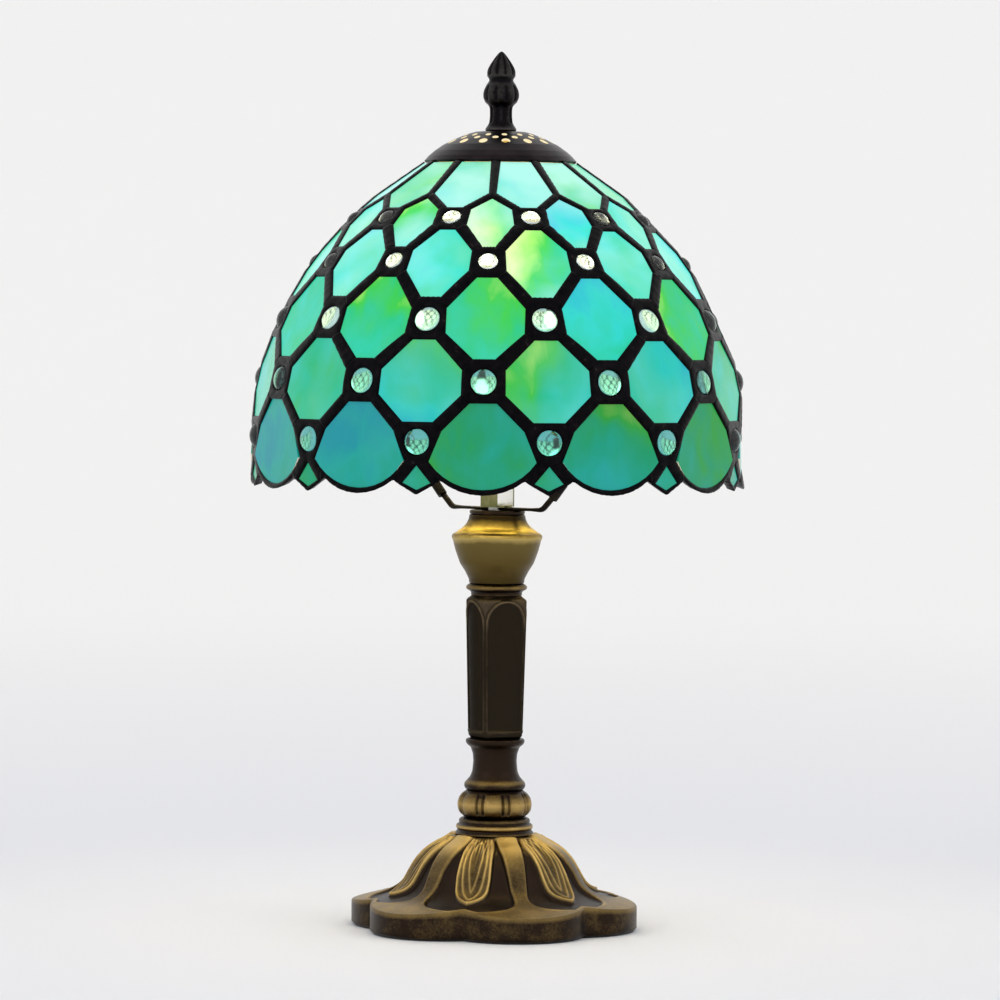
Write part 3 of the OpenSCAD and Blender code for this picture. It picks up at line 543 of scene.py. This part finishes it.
HARP_TURN = math.radians(-35)
HALF_W, WIRE_R, SADDLE_HALF, STEM_LEAN = 44.0, 1.5, 29.6, math.radians(40)
STEM_Z, STEM_LEN, LEAD_IN, WIRE_TOP_Z, CROWN_FLAT = 216.8, 14.0, 4.5, 404.0, 4.0


def arc(cx, cz, r, a, b, count):
    """Points of an arc in the harp's plane from angle a to b."""
    turn = np.linspace(a, b, count)
    return np.stack([cx + r * np.cos(turn), cz + r * np.sin(turn)], -1)


def tube(path, r, turns=16):
    """Rings of a tube along a path in the harp's plane: each ring stands across the path's direction."""
    way = np.gradient(path, axis=0)
    way /= np.linalg.norm(way, axis=1)[:, None]
    side = np.stack([way[:, 1], -way[:, 0]], -1)
    a = np.linspace(0, 2 * math.pi, turns + 1)[:-1]
    flat = path[:, None, :] + r * np.cos(a)[None, :, None] * side[:, None, :]
    rows = np.stack([flat[..., 0], np.broadcast_to(r * np.sin(a), flat.shape[:2]), flat[..., 1]], -1)
    return rows @ harp_turned.T


harp_turned = np.array([[math.cos(HARP_TURN), -math.sin(HARP_TURN), 0],
                        [math.sin(HARP_TURN), math.cos(HARP_TURN), 0], [0, 0, 1]])
harp_r = HALF_W + WIRE_R
bow_start = STEM_LEN + LEAD_IN
bend_r = (harp_r - SADDLE_HALF - bow_start * math.sin(STEM_LEAN)) / (1 - math.cos(STEM_LEAN))
bend_z = STEM_Z + bow_start * math.cos(STEM_LEAN) + bend_r * math.sin(STEM_LEAN)
crown_r = harp_r - CROWN_FLAT
stem_dir = np.array([math.sin(STEM_LEAN), math.cos(STEM_LEAN)])
foot_at = np.array([SADDLE_HALF, STEM_Z])
right = np.concatenate([[foot_at + stem_dir * STEM_LEN],
                        arc(harp_r - bend_r, bend_z, bend_r, -STEM_LEAN, 0, 12),
                        arc(CROWN_FLAT, WIRE_TOP_Z - crown_r, crown_r, 0, math.pi / 2, 32)])
bow_path = np.concatenate([right, right[::-1] * [-1, 1]])
harp_bow = skin("harp_wire", [tube(bow_path, WIRE_R)], lacquer)
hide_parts("harp_bow")
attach(harp_bow, "root")


def saddle_rows():
    """The pressed strap with its two bent-up stems as one path: a flat oval section over the vase that draws
    in to a round one at the stems."""
    bend_arc = arc(SADDLE_HALF - 3.2, STEM_Z + 4.4, 4.4, -math.pi / 2, -STEM_LEAN, 8)
    half = np.concatenate([[[0.0, STEM_Z], [9.0, STEM_Z], [16.0, STEM_Z], [22.0, STEM_Z]], bend_arc,
                           [foot_at + stem_dir * (STEM_LEN - 0.4)]])
    path = np.concatenate([half[:0:-1] * [-1, 1], half])
    way = np.gradient(path, axis=0)
    way /= np.linalg.norm(way, axis=1)[:, None]
    side = np.stack([-way[:, 1], way[:, 0]], -1)
    wide = np.interp(np.abs(path[:, 0]), [9, 24, 28], [4.0, 2.7, 1.4])[:, None]
    thick = np.interp(np.abs(path[:, 0]), [9, 24, 28], [0.8, 0.8, 1.35])[:, None]
    a = np.linspace(0, 2 * math.pi, 25)[:-1][None, :]
    soft = lambda c: np.sign(c) * np.abs(c) ** 0.6
    flat = path[:, None, :] + (thick * soft(np.sin(a)))[..., None] * side[:, None, :]
    return np.stack([flat[..., 0], wide * soft(np.cos(a)), flat[..., 1]], -1) @ harp_turned.T


saddle = skin("harp_saddle_strap", [saddle_rows()], lacquer)
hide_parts("harp_saddle")
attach(saddle, "root")

brass = mottled("turned_brass", 200, 3, (0.55, 0.4, 0.16), (0.78, 0.6, 0.27), (0.2, 0.34))[0]
cad["harp_ferrules"].data.materials[0] = lacquer
for name in ("harp_seat", "shade_washer", "shade_top_ring", "screw_shell", "centre_contact",
             "terminal_screws"):
    cad[name].data.materials[0] = brass

# ---------------------------------------------------------------- rod, bracket and lampholder
# A zinc plated rod with nut and washer clamps the stand. A yellow zinc U-strap on top of it holds the
# black phenolic lampholder with its brass shell, contact and screws. The strap's faces towards the axis are
# painted near white, painted light from the bulb.

zinc = mottled("zinc_plate", 300, 4, (0.42, 0.42, 0.41), (0.62, 0.62, 0.6), (0.25, 0.42))[0]
for name in ("lamp_rod", "rod_nut", "rod_washer", "bracket_screws"):
    cad[name].data.materials[0] = zinc


def facing_in(tree, at):
    """1 on faces that look towards the axis of the lamp, 0 on faces that look out."""
    normal = add(tree, "ShaderNodeTexCoord").outputs["Normal"]
    level = vector(tree, "MULTIPLY", at, (1, 1, 0))
    aligned = add(tree, "ShaderNodeVectorMath", {0: normal, 1: level}, operation="DOT_PRODUCT")
    return maths(tree, "LESS_THAN", aligned.outputs["Value"], 0.0)


def blend(tree, fac, a, b):
    """Mix of two colours, each an output or a triple."""
    a, b = [c if isinstance(c, bpy.types.NodeSocket) else (*c, 1) for c in (a, b)]
    return add(tree, "ShaderNodeMix", {0: fac, 6: a, 7: b}, data_type="RGBA").outputs[2]


yellow_zinc, tree, shader = material("yellow_zinc_painted_lit_inside", Metallic=1.0)
cloud = grain(tree, 120, 4, distortion=1.0)
olive = ramp(tree, cloud, [(0.3, (0.12, 0.13, 0.045)), (0.55, (0.19, 0.19, 0.08)),
                           (0.75, (0.3, 0.27, 0.14))])
# Painted light: faces that look towards the lamp's axis are painted near white as if lit by the bulb; outward
# faces keep the olive yellow zinc.
paint(tree, shader, blend(tree, facing_in(tree, place(tree)), olive, (0.9, 0.9, 0.86)))
roughen(tree, shader, cloud, 0.16, 0.3)
cad["socket_bracket"].data.materials[0] = yellow_zinc

phenolic, tree, shader = material("black_phenolic", Roughness=0.3)
speck = grain(tree, 400, 4)
paint(tree, shader, ramp(tree, speck, [(0.3, (0.008, 0.008, 0.008)), (0.7, (0.02, 0.019, 0.018))]))
bump(tree, shader, grain(tree, 900), 0.1, 0.0002)
cad["socket_body"].data.materials[0] = phenolic
cad["bulb_insulator"].data.materials[0] = phenolic

# ---------------------------------------------------------------- bulb
# A frosted round bulb, lit, with a rolled aluminium screw cap. A soft point of light stands at its middle;
# the glass lets that light out.

aluminium = mottled("rolled_aluminium", 500, 3, (0.6, 0.61, 0.62), (0.78, 0.79, 0.8), (0.22, 0.38))[0]
cad["bulb_cap"].data.materials[0] = aluminium
cad["bulb_tip"].data.materials[0] = aluminium

BULB_TIP_Z, BALL_Z, BALL_R, NECK_R = 249.0, 324.0, 30.0, 12.2


def bulb_outline():
    """Neck, an S-curve out to the ball, and the ball's arc to its top."""
    ease = np.linspace(0, 1, 16)
    ball = np.radians(np.linspace(-28, 90, 40))
    start_r, start_z = BALL_R * math.cos(ball[0]), BALL_Z + BALL_R * math.sin(ball[0])
    neck_z = BULB_TIP_Z + 28
    swell = NECK_R + (start_r - NECK_R) * (1 - np.cos(math.pi * ease)) / 2
    r = np.concatenate([[0.01, NECK_R - 1, NECK_R], swell, BALL_R * np.cos(ball[1:])])
    z = np.concatenate([[BULB_TIP_Z + 10, BULB_TIP_Z + 10, BULB_TIP_Z + 11],
                        neck_z + (start_z - neck_z) * ease, BALL_Z + BALL_R * np.sin(ball[1:])])
    return np.stack([r, z], -1)


frosted, tree, shader = material("lit_frosted_glass", Base_Color=(1, 0.98, 0.94, 1), Roughness=0.5)
hot = span(tree, height_of(tree), 0.262, 0.325)
hot = ramp(tree, hot, [(0.0, (0.5, 0.36, 0.2)), (0.5, (1.0, 0.86, 0.62)), (1.0, (1.0, 0.95, 0.84))])
tree.links.new(hot, shader.inputs["Emission Color"])
shader.inputs["Emission Strength"].default_value = 2.4
outline = bulb_outline()
angle = np.linspace(0, 2 * math.pi, 65)[:-1][None, :]
bulb = skin("bulb_envelope_lit", [turn_out(angle, outline[:, :1], outline[:, 1:])], frosted)
bulb.visible_shadow = False
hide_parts("bulb_glass")
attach(bulb, "bulb")
mount_glass, tree, shader = material("bulb_mount_glass", Base_Color=(0.9, 0.9, 0.88, 1), Roughness=0.1,
                                     Emission_Strength=2.0)
tree.links.new(ramp(tree, grain(tree, 200), [(0.3, (1, 0.75, 0.45)), (0.7, (1, 0.85, 0.6))]),
               shader.inputs["Emission Color"])
cad["bulb_stem"].data.materials[0] = mount_glass
cad["bulb_stem"].visible_shadow = False

glow = bpy.data.lights.new("bulb_light", "POINT")
glow.energy, glow.color, glow.shadow_soft_size = 0.6, (1, 0.9, 0.74), 0.028
glow_at = bpy.data.objects.new("bulb_light", glow)
bpy.context.scene.collection.objects.link(glow_at)
glow_at.location = (0, 0, BALL_Z * MM)

# ---------------------------------------------------------------- sheet glass
# Seven rings of twelve flat pieces of streaky opalescent sheet, wrapped in copper foil. Each piece is cut
# from its own spot of the sheet, so its streaks run its own way. The light behind is painted in: each piece
# glows by emission, most on the upper rings, and its faces towards the inside are painted warm cream.

RINGS = 12
STEP = 2 * math.pi / RINGS
SHADE_TURN = math.radians(11.6)
SHEET_COLOURS = [(0.015, 0.54, 0.66), (0.02, 0.68, 0.6), (0.015, 0.62, 0.4), (0.015, 0.58, 0.24),
                 (0.04, 0.62, 0.05), (0.36, 0.84, 0.12), (0.8, 0.94, 0.36)]
PAINTED_BULB_GLOW = (1.0, 0.88, 0.66)


def streaky_glass(name, ring, low_z, high_z, cuts, milk, glow_strength, depth):
    """Opalescent sheet. Each piece has its own place on the sheet's run of colours, and leans along it from
    left to right and from top to bottom; soft noise bends that, and milk whitens it in clouds. The glow is
    painted light: the colour is also emitted, and faces towards the axis glow and are coloured warm cream."""
    made, tree, shader = material(name, Roughness=0.2, Specular_IOR_Level=0.2,
                                   Emission_Strength=glow_strength)
    at = place(tree)
    xyz = add(tree, "ShaderNodeSeparateXYZ", {0: at})
    angle = maths(tree, "ARCTAN2", xyz.outputs["X"], maths(tree, "MULTIPLY", xyz.outputs["Y"], -1))
    turn = SHADE_TURN - (0 if ring % 2 else STEP / 2)
    steps = maths(tree, "DIVIDE", maths(tree, "SUBTRACT", angle, turn), STEP)
    number = maths(tree, "ROUND", steps)
    u = maths(tree, "SUBTRACT", steps, number)
    v = span(tree, xyz.outputs["Z"], low_z, high_z, -0.5, 0.5)
    number = maths(tree, "FLOORED_MODULO", number, RINGS)
    order = [cuts[(k + 3) % RINGS % len(cuts)] for k in range(RINGS)]
    count = maths(tree, "DIVIDE", maths(tree, "ADD", number, 0.5), RINGS)
    lots = ramp(tree, count, [(k / RINGS, (start, 0.5 + across / 2, 0.5 + down / 2))
                              for k, (start, across, down) in enumerate(order)])
    lots.node.color_ramp.interpolation = "CONSTANT"
    lots = add(tree, "ShaderNodeSeparateColor", {"Color": lots}).outputs
    seed = add(tree, "ShaderNodeCombineXYZ", {"X": number, "Y": ring * 3.7, "Z": 1.3}).outputs[0]
    spot = vector(tree, "ADD", seed, at)
    bend = grain(tree, 38, 1.5, 0.45, 0.6, spot)
    cloud = grain(tree, 26, 2, 0.5, 0.4, vector(tree, "ADD", spot, (3, 5, 7)))
    wisp = grain(tree, 90, 3, 0.55, 0.8, vector(tree, "MULTIPLY", spot, (1, 1, 0.35)))
    shade = sway(tree, lots["Green"], maths(tree, "MULTIPLY", u, 2.0), lots["Red"])
    shade = sway(tree, lots["Blue"], maths(tree, "MULTIPLY", v, -2.0), shade)
    shade = sway(tree, wisp, 0.3, sway(tree, bend, 0.62, shade))
    last = len(SHEET_COLOURS) - 1
    colour = ramp(tree, shade, [(i / last, tuple(depth * c for c in tint))
                                for i, tint in enumerate(SHEET_COLOURS)])
    white = span(tree, cloud, 0.35, 0.65, *milk)
    colour = blend(tree, white, colour, (0.5, 0.98, 0.86))
    # Painted light: faces that look towards the axis glow and are coloured warm cream, as if lit by the bulb.
    inner = maths(tree, "MULTIPLY", facing_in(tree, at), 0.88)
    tree.links.new(blend(tree, inner, colour, PAINTED_BULB_GLOW), shader.inputs["Emission Color"])
    dim = blend(tree, 0.5, colour, (0.0, 0.03, 0.02))
    paint(tree, shader, blend(tree, inner, dim, (0.8, 0.74, 0.6)))
    bump(tree, shader, grain(tree, 70, 2), 0.12, 0.002)
    return made


# Each piece: its place on the run of colours, how far it moves to the right along it, and how far down.
# Three pieces left of the front one, the front one and three right of it; the back repeats the first five.
# The last two numbers of each ring are its painted glow strength, highest on the upper rings, and a depth
# that darkens its colour and so its glow, darkest on the scallops and rim.
sheets = [
    ("crown_panes", 1, 0.37, 0.394, [
        (0.2, 0, 0), (0.55, 0.2, -0.1), (0.38, 0.2, -0.4), (0.2, 0.1, 0), (0.5, -0.2, 0.1), (0.45, 0, 0),
        (0.4, 0, 0)], (0.3, 0.85), 0.56, 1.1),
    ("shoulder_panes", 2, 0.35, 0.375, [
        (0.4, 0, 0), (0.4, 0, 0.1), (0.5, 0.1, -0.6), (0.8, -1, 0.2), (0.14, 0, 0.1), (0.2, 0, 0),
        (0.35, 0, 0)], (0.05, 0.6), 0.59, 1.15),
    ("upper_panes", 3, 0.325, 0.359, [
        (0.35, 0, 0), (0.28, 0.3, 0.2), (0.25, 0.2, 0.2), (0.66, -0.9, -0.4), (0.25, 0.1, 0.1), (0.2, 0, 0),
        (0.45, 0, 0)], (0.05, 0.4), 0.6, 1.1),
    ("middle_panes", 4, 0.295, 0.335, [
        (0.3, 0, 0), (0.42, 0, 0), (0.52, -0.1, -0.3), (0.55, 0.2, -0.3), (0.16, 0, 0.3), (0.56, -0.2, 0.1),
        (0.4, 0, 0)], (0.0, 0.05), 0.53, 1.0),
    ("lower_panes", 5, 0.264, 0.304, [
        (0.35, 0, 0), (0.38, 0, 0), (0.38, 0.3, -0.5), (0.5, -0.7, -0.3), (0.2, -0.3, 0.1), (0.42, 0, 0),
        (0.35, 0, 0)], (0.0, 0.12), 0.5, 0.85),
    ("scallop_panes", 6, 0.23, 0.273, [
        (0.3, 0, 0), (0.14, 0.1, 0), (0.1, 0.1, 0.2), (0.44, -0.3, 0), (0.42, 0.25, -0.4), (0.5, 0.15, -0.2),
        (0.2, 0, 0)], (0.0, 0.02), 0.4, 0.6),
    ("rim_diamonds", 7, 0.23, 0.243, [
        (0.5, 0, 0), (0.55, 0, 0), (0.42, 0, 0), (0.55, 0, 0), (0.3, 0, 0), (0.35, 0, 0),
        (0.45, 0, 0)], (0.0, 0.04), 0.4, 0.65)]
for node, *cut in sheets:
    cad[node].data.materials[0] = streaky_glass("sheet_" + node, *cut)

# ---------------------------------------------------------------- solder seams, jewel settings and rim
# Tin-lead solder run over the copper foil between the glass pieces, rounded like a drop, flooded round each
# jewel and along the scalloped rim, and blackened with patina. It stands proud on both faces.

SHADE_R, SPRING_Z, DOME_RISE, DOME_POWER, DOME_ROUND = 126.4, 255.0, 154.0, 1.95, 0.68
CORE = np.array([0, 0, 270.0])
GLASS_T = 3.0
HALF_STEP = 15.0
pane_1 = [(11.4, 394.2), (13.2, 377.5), (3.3, 370.3)]
pane_2 = [(0, 374.9), (8.1, 369.4), (8.5, 361.6), (2.0, 350.4)]
pane_3 = [(2.8, 359), (9.7, 348.6), (9.5, 338.6), (2.8, 325.5)]
pane_4 = [(2.9, 335.2), (10.2, 320), (9.7, 307.7), (2.6, 295)]
pane_5 = [(2.9, 304.4), (9.9, 289.6), (9.9, 277.3), (3.6, 264)]
pane_6 = [(3.1, 273.3), (9.3, 259.5), (12, 244.8)]
diamond = [(0, 242.6), (3.3, 234), (0, 230.4)]
notch = (10.6, 233.5)
RIM_W, LOW_Z = 2.3, 230.5


def on_dome(corners):
    """Points of the dome from (degrees from the front, height): its radius falls off as
    (1 - rise ** power) ** round above the spring."""
    corners = np.asarray(corners, float)
    rise = np.clip((corners[..., 1] - SPRING_Z) / DOME_RISE, 0, 1)
    radius = SHADE_R * (1 - rise ** DOME_POWER) ** DOME_ROUND
    return turn_out(np.radians(corners[..., 0]), radius, corners[..., 1])


def scallop(out):
    """The arc of the lower edge, from its widest corner to the middle, moved out by a width."""
    width = math.radians(pane_6[2][0]) * SHADE_R
    height = pane_6[2][1] - LOW_Z
    arc_r = (width ** 2 + height ** 2) / (2 * height)
    turn = math.asin(width / arc_r) * (1 - np.arange(7) / 6)
    x = (arc_r + out) * np.sin(turn)
    return np.stack([np.degrees(x / SHADE_R), LOW_Z + arc_r - (arc_r + out) * np.cos(turn)], -1)


def mirrored(corners):
    """A left half joined on to a right half that ends on the centre line or beside it."""
    corners = np.asarray(corners, float)
    left = corners[::-1] * [-1, 1]
    return np.concatenate([corners, left[1:] if abs(corners[-1, 0]) < 1e-6 else left])


def moved(corners, degrees):
    return np.asarray(corners, float) + [degrees, 0]


pane_6_full = np.concatenate([pane_6, scallop(0)[1:]])
outlines = {1: pane_1, 2: pane_2, 3: pane_3, 4: pane_4, 5: pane_5, 6: pane_6_full, 7: diamond}
rim_out = np.concatenate([[notch], scallop(RIM_W)[2:]])
tip_out = [(HALF_STEP - notch[0], notch[1]), (0, diamond[2][1] - RIM_W)]


def edge_points():
    """Points every half millimetre along the edges of glass and the free edge of the rim, near one sector."""
    chains = []
    for ring, corners in outlines.items():
        half = np.asarray(corners, float)
        loop = np.concatenate([half, half[::-1] * [-1, 1]])
        loop = np.concatenate([loop, loop[:1]])
        base = 0 if ring % 2 else -HALF_STEP
        chains += [moved(loop, base + 2 * HALF_STEP * k) for k in (-1, 0, 1, 2)]
    chains += [moved(mirrored(rim_out), HALF_STEP * (2 * k - 1)) for k in (-1, 0, 1, 2)]
    chains += [moved(mirrored(tip_out), 2 * HALF_STEP * k) for k in (-1, 0, 1)]
    found = []
    for chain in chains:
        solid = on_dome(chain)
        for a, b in zip(solid[:-1], solid[1:]):
            count = max(int(np.linalg.norm(b - a) / 0.5), 1)
            found.append(a + (b - a) * (np.arange(count) / count)[:, None])
    return np.concatenate(found)


EDGES = edge_points()


def nearest(points, others):
    """Distance from each point to the nearest of others, in slices to save memory."""
    flat = points.reshape(-1, 3)
    parts = [np.sqrt(((flat[i:i + 400, None, :] - others[None]) ** 2).sum(-1).min(1))
             for i in range(0, len(flat), 400)]
    return np.concatenate(parts).reshape(points.shape[:-1])


def solder_height(points):
    """Rounded like a drop: rises from the nearest glass edge as a quarter ellipse, with slow small lumps."""
    off = np.minimum(nearest(points, EDGES) / 2.2, 1)
    x, y, z = np.moveaxis(points, -1, 0)
    lumps = 0.09 * np.sin(x * 0.9 + 1.3 * np.sin(z * 0.35)) * np.sin(z * 0.8 + y * 0.5)
    return 0.1 + (0.95 + lumps) * np.sqrt(1 - (1 - off) ** 2)


def thicken(points):
    """Loops round a strip of solder: across its outer face, then back across its inner face."""
    away = points - CORE
    away /= np.linalg.norm(away, axis=-1)[..., None]
    height = solder_height(points)[..., None]
    outer, inner = points + away * height, points - away * (GLASS_T + height)
    return np.concatenate([outer, inner[:, ::-1]], 1)


def resample(corners, count):
    """A polyline on the dome in count even steps."""
    solid = on_dome(corners)
    walked = np.concatenate([[0], np.cumsum(np.linalg.norm(np.diff(solid, axis=0), axis=1))])
    at = np.linspace(0, walked[-1], count)
    return np.stack([np.interp(at, walked, solid[:, i]) for i in range(3)], -1)


def seam(left, right, length=20, width=9):
    """A strip between two glass edges, bedded on the straight lines that join them."""
    a, b = resample(left, length)[:, None, :], resample(right, length)[:, None, :]
    v = (1 - np.cos(np.linspace(0, math.pi, width)))[None, :, None] / 2
    return thicken(a + (b - a) * v)


def all_round(shells):
    """Twelve copies of each shell round the shade."""
    turned = []
    for k in range(RINGS):
        a = SHADE_TURN + k * STEP
        spin = np.array([[math.cos(a), -math.sin(a), 0], [math.sin(a), math.cos(a), 0], [0, 0, 1]])
        turned += [rows @ spin.T for rows in shells]
    return turned


def both(strips, centre):
    """Seams at both sides of a centre line, from (left, right) polylines given on one side of it."""
    return [seam(moved(np.asarray(a, float) * [s, 1], centre), moved(np.asarray(b, float) * [s, 1], centre))
            for s in (-1, 1) for a, b in strips]


def beside(corner):
    """The same corner of a neighbour half a step away, as seen from this centre line."""
    return (HALF_STEP - corner[0], corner[1])


solder, tree, shader = material("black_patina_solder", Metallic=1.0)
cloud = grain(tree, 260, 5, 0.6)
paint(tree, shader, ramp(tree, cloud, [(0.3, (0.003, 0.003, 0.004)), (0.62, (0.007, 0.006, 0.007)),
                                       (0.8, (0.04, 0.028, 0.03))]))
roughen(tree, shader, cloud, 0.28, 0.5)
bump(tree, shader, grain(tree, 1100, 3), 0.25, 0.0003)

EVEN = -HALF_STEP
seams = [seam([(EVEN - 3.6, 394.2), (EVEN - 1.8, 377.5), (EVEN - 0.1, 375.0)],
              [(EVEN + 3.6, 394.2), (EVEN + 1.8, 377.5), (EVEN + 0.1, 375.0)])]
seams += both([([pane_1[1], pane_1[2]], [(HALF_STEP, pane_2[0][1]), beside(pane_2[1])])], 0)
for centre, upper, lower in ((EVEN, pane_2, pane_3), (0, pane_3, pane_4), (EVEN, pane_4, pane_5),
                             (0, pane_5, pane_6)):
    seams += both([([upper[2], upper[3]], [beside(lower[0]), beside(lower[1])])], centre)
below_scallop = [(HALF_STEP, diamond[0][1]), beside(diamond[1]), notch]
seams += both([([pane_6[2], scallop(0)[1], notch], below_scallop)], EVEN)
net = skin("solder_seams", all_round(seams), solder)
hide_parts("crown_seams", "shoulder_seams", "upper_seams", "middle_seams", "lower_seams",
            "scallop_seams", "diamond_seams")
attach(net, "shade")

rim_shells = [seam(moved(mirrored(scallop(0)[1:]), EVEN), moved(mirrored(rim_out), EVEN), 40, 9),
              seam(mirrored(diamond[1:]), mirrored(tip_out), 20, 9)]
rim = skin("rim_solder", all_round(rim_shells), solder)
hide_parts("rim_bead")
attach(rim, "shade")


def setting_frame(corners):
    """Centre of a jewel's setting, its outward normal and two directions across it."""
    solid = on_dome(corners)
    centre = solid.mean(0)
    normal = sum(np.cross(a - centre, b - centre) for a, b in zip(solid, np.roll(solid, -1, 0)))
    normal *= np.sign(normal @ (centre - CORE)) / np.linalg.norm(normal)
    side = np.cross([0, 0, 1], normal)
    side /= np.linalg.norm(side)
    return centre, normal, side, np.cross(normal, side)


def setting_rows(corners, jewel_r, per_edge=8, width=7):
    """Rings across the solder round a jewel, from the jewel's edge out to the eight-sided outline."""
    centre, normal, side, up = setting_frame(corners)
    solid = on_dome(corners)
    outer = np.concatenate([a + (b - a) * (np.arange(per_edge) / per_edge)[:, None]
                            for a, b in zip(solid, np.roll(solid, -1, 0))])
    way = outer - centre
    flat = np.stack([way @ side, way @ up], -1)
    flat /= np.linalg.norm(flat, axis=1)[:, None]
    inner = centre + jewel_r * (flat[:, :1] * side + flat[:, 1:] * up)
    v = (1 - np.cos(np.linspace(0, math.pi, width)))[None, :, None] / 2
    points = inner[:, None, :] + (outer - inner)[:, None, :] * v
    away = points - CORE
    away /= np.linalg.norm(away, axis=-1)[..., None]
    rise = np.minimum(np.linalg.norm(points - inner[:, None, :], axis=-1) / 1.6, 1)
    height = np.minimum(solder_height(points), 0.15 + 1.1 * np.sqrt(1 - (1 - rise) ** 2))[..., None]
    return np.concatenate([points + away * height, (points - away * (GLASS_T + height))[:, ::-1]], 1)


def octagon(above, side_top, side_bottom, below):
    """Corners of a setting on one centre line, from the corners of the glass above, beside and below it."""
    return mirrored([above, beside(side_top), beside(side_bottom), below])


levels = [(0, octagon(pane_1[2], pane_2[1], pane_2[2], pane_3[0]), 4.7),
          (EVEN, octagon(pane_2[3], pane_3[1], pane_3[2], pane_4[0]), 4.7),
          (0, octagon(pane_3[3], pane_4[1], pane_4[2], pane_5[0]), 6.2),
          (EVEN, octagon(pane_4[3], pane_5[1], pane_5[2], pane_6[0]), 6.2),
          (0, octagon(pane_5[3], pane_6[1], pane_6[2], diamond[0]), 6.2)]
setting_shells = [setting_rows(moved(corners, centre), r) for centre, corners, r in levels]
settings = skin("jewel_settings", all_round(setting_shells), solder, wrap=True)
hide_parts(*["settings_%d" % i for i in range(1, 6)])
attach(settings, "shade")

# ---------------------------------------------------------------- jewels
# Pressed glass buttons with a domed face and a nearly flat back, pale aqua and clear, so that the lit
# inside of the shade shows through them, upside down and bent.

jewel_glass, tree, shader = material("pressed_glass", Transmission_Weight=1.0, IOR=1.46, Roughness=0.16)
tint = span(tree, sway(tree, grain(tree, 60, 2), 0.06, height_of(tree)), 0.24, 0.38)
paint(tree, shader, ramp(tree, tint, [(0.0, (0.1, 0.5, 0.5)), (0.45, (0.24, 0.68, 0.6)),
                                      (0.62, (0.75, 0.95, 0.92)), (1.0, (0.9, 1.0, 0.98))]))
bump(tree, shader, grain(tree, 260, 1), 0.18, 0.0006)


def jewel_rows(corners, r):
    """A lens on its setting's axis: a shallow back, a short straight edge and a domed front."""
    centre, normal, side, up = setting_frame(corners)
    back, front = np.linspace(0.02, 1, 7), np.linspace(1, 0.02, 12)
    radius = np.concatenate([back, front]) * (r + 0.12)
    depth = np.concatenate([-GLASS_T - 0.6 * (1 - back ** 2), 0.4 + 0.5 * r * (1 - front ** 2) ** 0.8])
    a = np.linspace(0, 2 * math.pi, 41)[:-1]
    ring = np.cos(a)[:, None] * side + np.sin(a)[:, None] * up
    return centre + radius[:, None, None] * ring[None] + depth[:, None, None] * normal


for i, (centre, corners, r) in enumerate(levels, 1):
    jewels = skin("jewel_ring_%d" % i, all_round([jewel_rows(moved(corners, centre), r)]), jewel_glass)
    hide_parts("jewels_%d" % i)
    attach(jewels, "shade")

# ---------------------------------------------------------------- cap and finial
# A pressed steel cap with three rings of vent holes closes the top of the glass, and a cast finial with a
# fluted stem, ribbed knob and grooved point screws it down. Dark bronze lacquer with a satin sheen. The cap's
# underside and the walls of its vent holes glow warm cream, painted light from the bulb.

satin, tree, shader = mottled("satin_dark_bronze", 70, 4, (0.006, 0.005, 0.006), (0.026, 0.018, 0.02),
                              (0.28, 0.4), Emission_Strength=1.0)
# Painted light: faces inside the cap that look down or sideways, the underside and the vent hole walls, glow
# warm as if lit by the bulb.
painted_glow_mask = height_of(tree, add(tree, "ShaderNodeTexCoord").outputs["Normal"])
inside_cap = maths(tree, "GREATER_THAN", height_of(tree), 0.398)
painted_glow_mask = maths(tree, "MULTIPLY", maths(tree, "LESS_THAN", painted_glow_mask, 0.15), inside_cap)
tree.links.new(blend(tree, painted_glow_mask, (0, 0, 0), (1.0, 0.84, 0.5)), shader.inputs["Emission Color"])
bump(tree, shader, grain(tree, 1400, 2), 0.1, 0.0002)
cad["shade_cap"].data.materials[0] = satin

CAP_TOP_Z = 410.9
finial_outline = [[3.2, 0], [8.1, 0.1], [8.1, 1.2], [7.4, 2.2], [6.6, 3.2], [6.2, 4.8], [5.9, 8], [6.0, 12],
                  [6.6, 13.6], [8.2, 14.8], [9.3, 16.6], [9.6, 18.6], [9.2, 21], [8.0, 23.4], [6.6, 25.2],
                  [6.0, 26.2], [6.4, 27.2], [7.5, 28.4], [7.6, 30.6], [7.0, 32.4], [5.6, 34.8], [3.8, 37.4],
                  [2.2, 39.4], [0.9, 40.8], [0.05, 41.1]]


def finial_shape(angle, z):
    """Ten flutes on the stem, ten ribs on the knob and on the point, fading between them."""
    up = z - CAP_TOP_Z
    wave = np.abs(np.cos(5 * angle))
    stem = step_up(up, 3.4, 5) * (1 - step_up(up, 12, 13.4))
    knob = step_up(up, 14.6, 16.4) * (1 - step_up(up, 22.4, 24.4))
    point = step_up(up, 28.2, 29.6) * (1 - step_up(up, 38, 40))
    return 1 - 0.12 * stem * (1 - wave) - 0.1 * knob * (1 - wave ** 0.7) - 0.14 * point * (1 - wave ** 0.7)


finial_metal = antique_metal("dark_finial_metal", (0.008, 0.007, 0.008), (0.2, 0.18, 0.17), 0.8)
lathe("finial_turned", [[r, CAP_TOP_Z + z] for r, z in finial_outline], finial_metal, "finial", "finial",
      shape=finial_shape, turns=160, step=0.3)
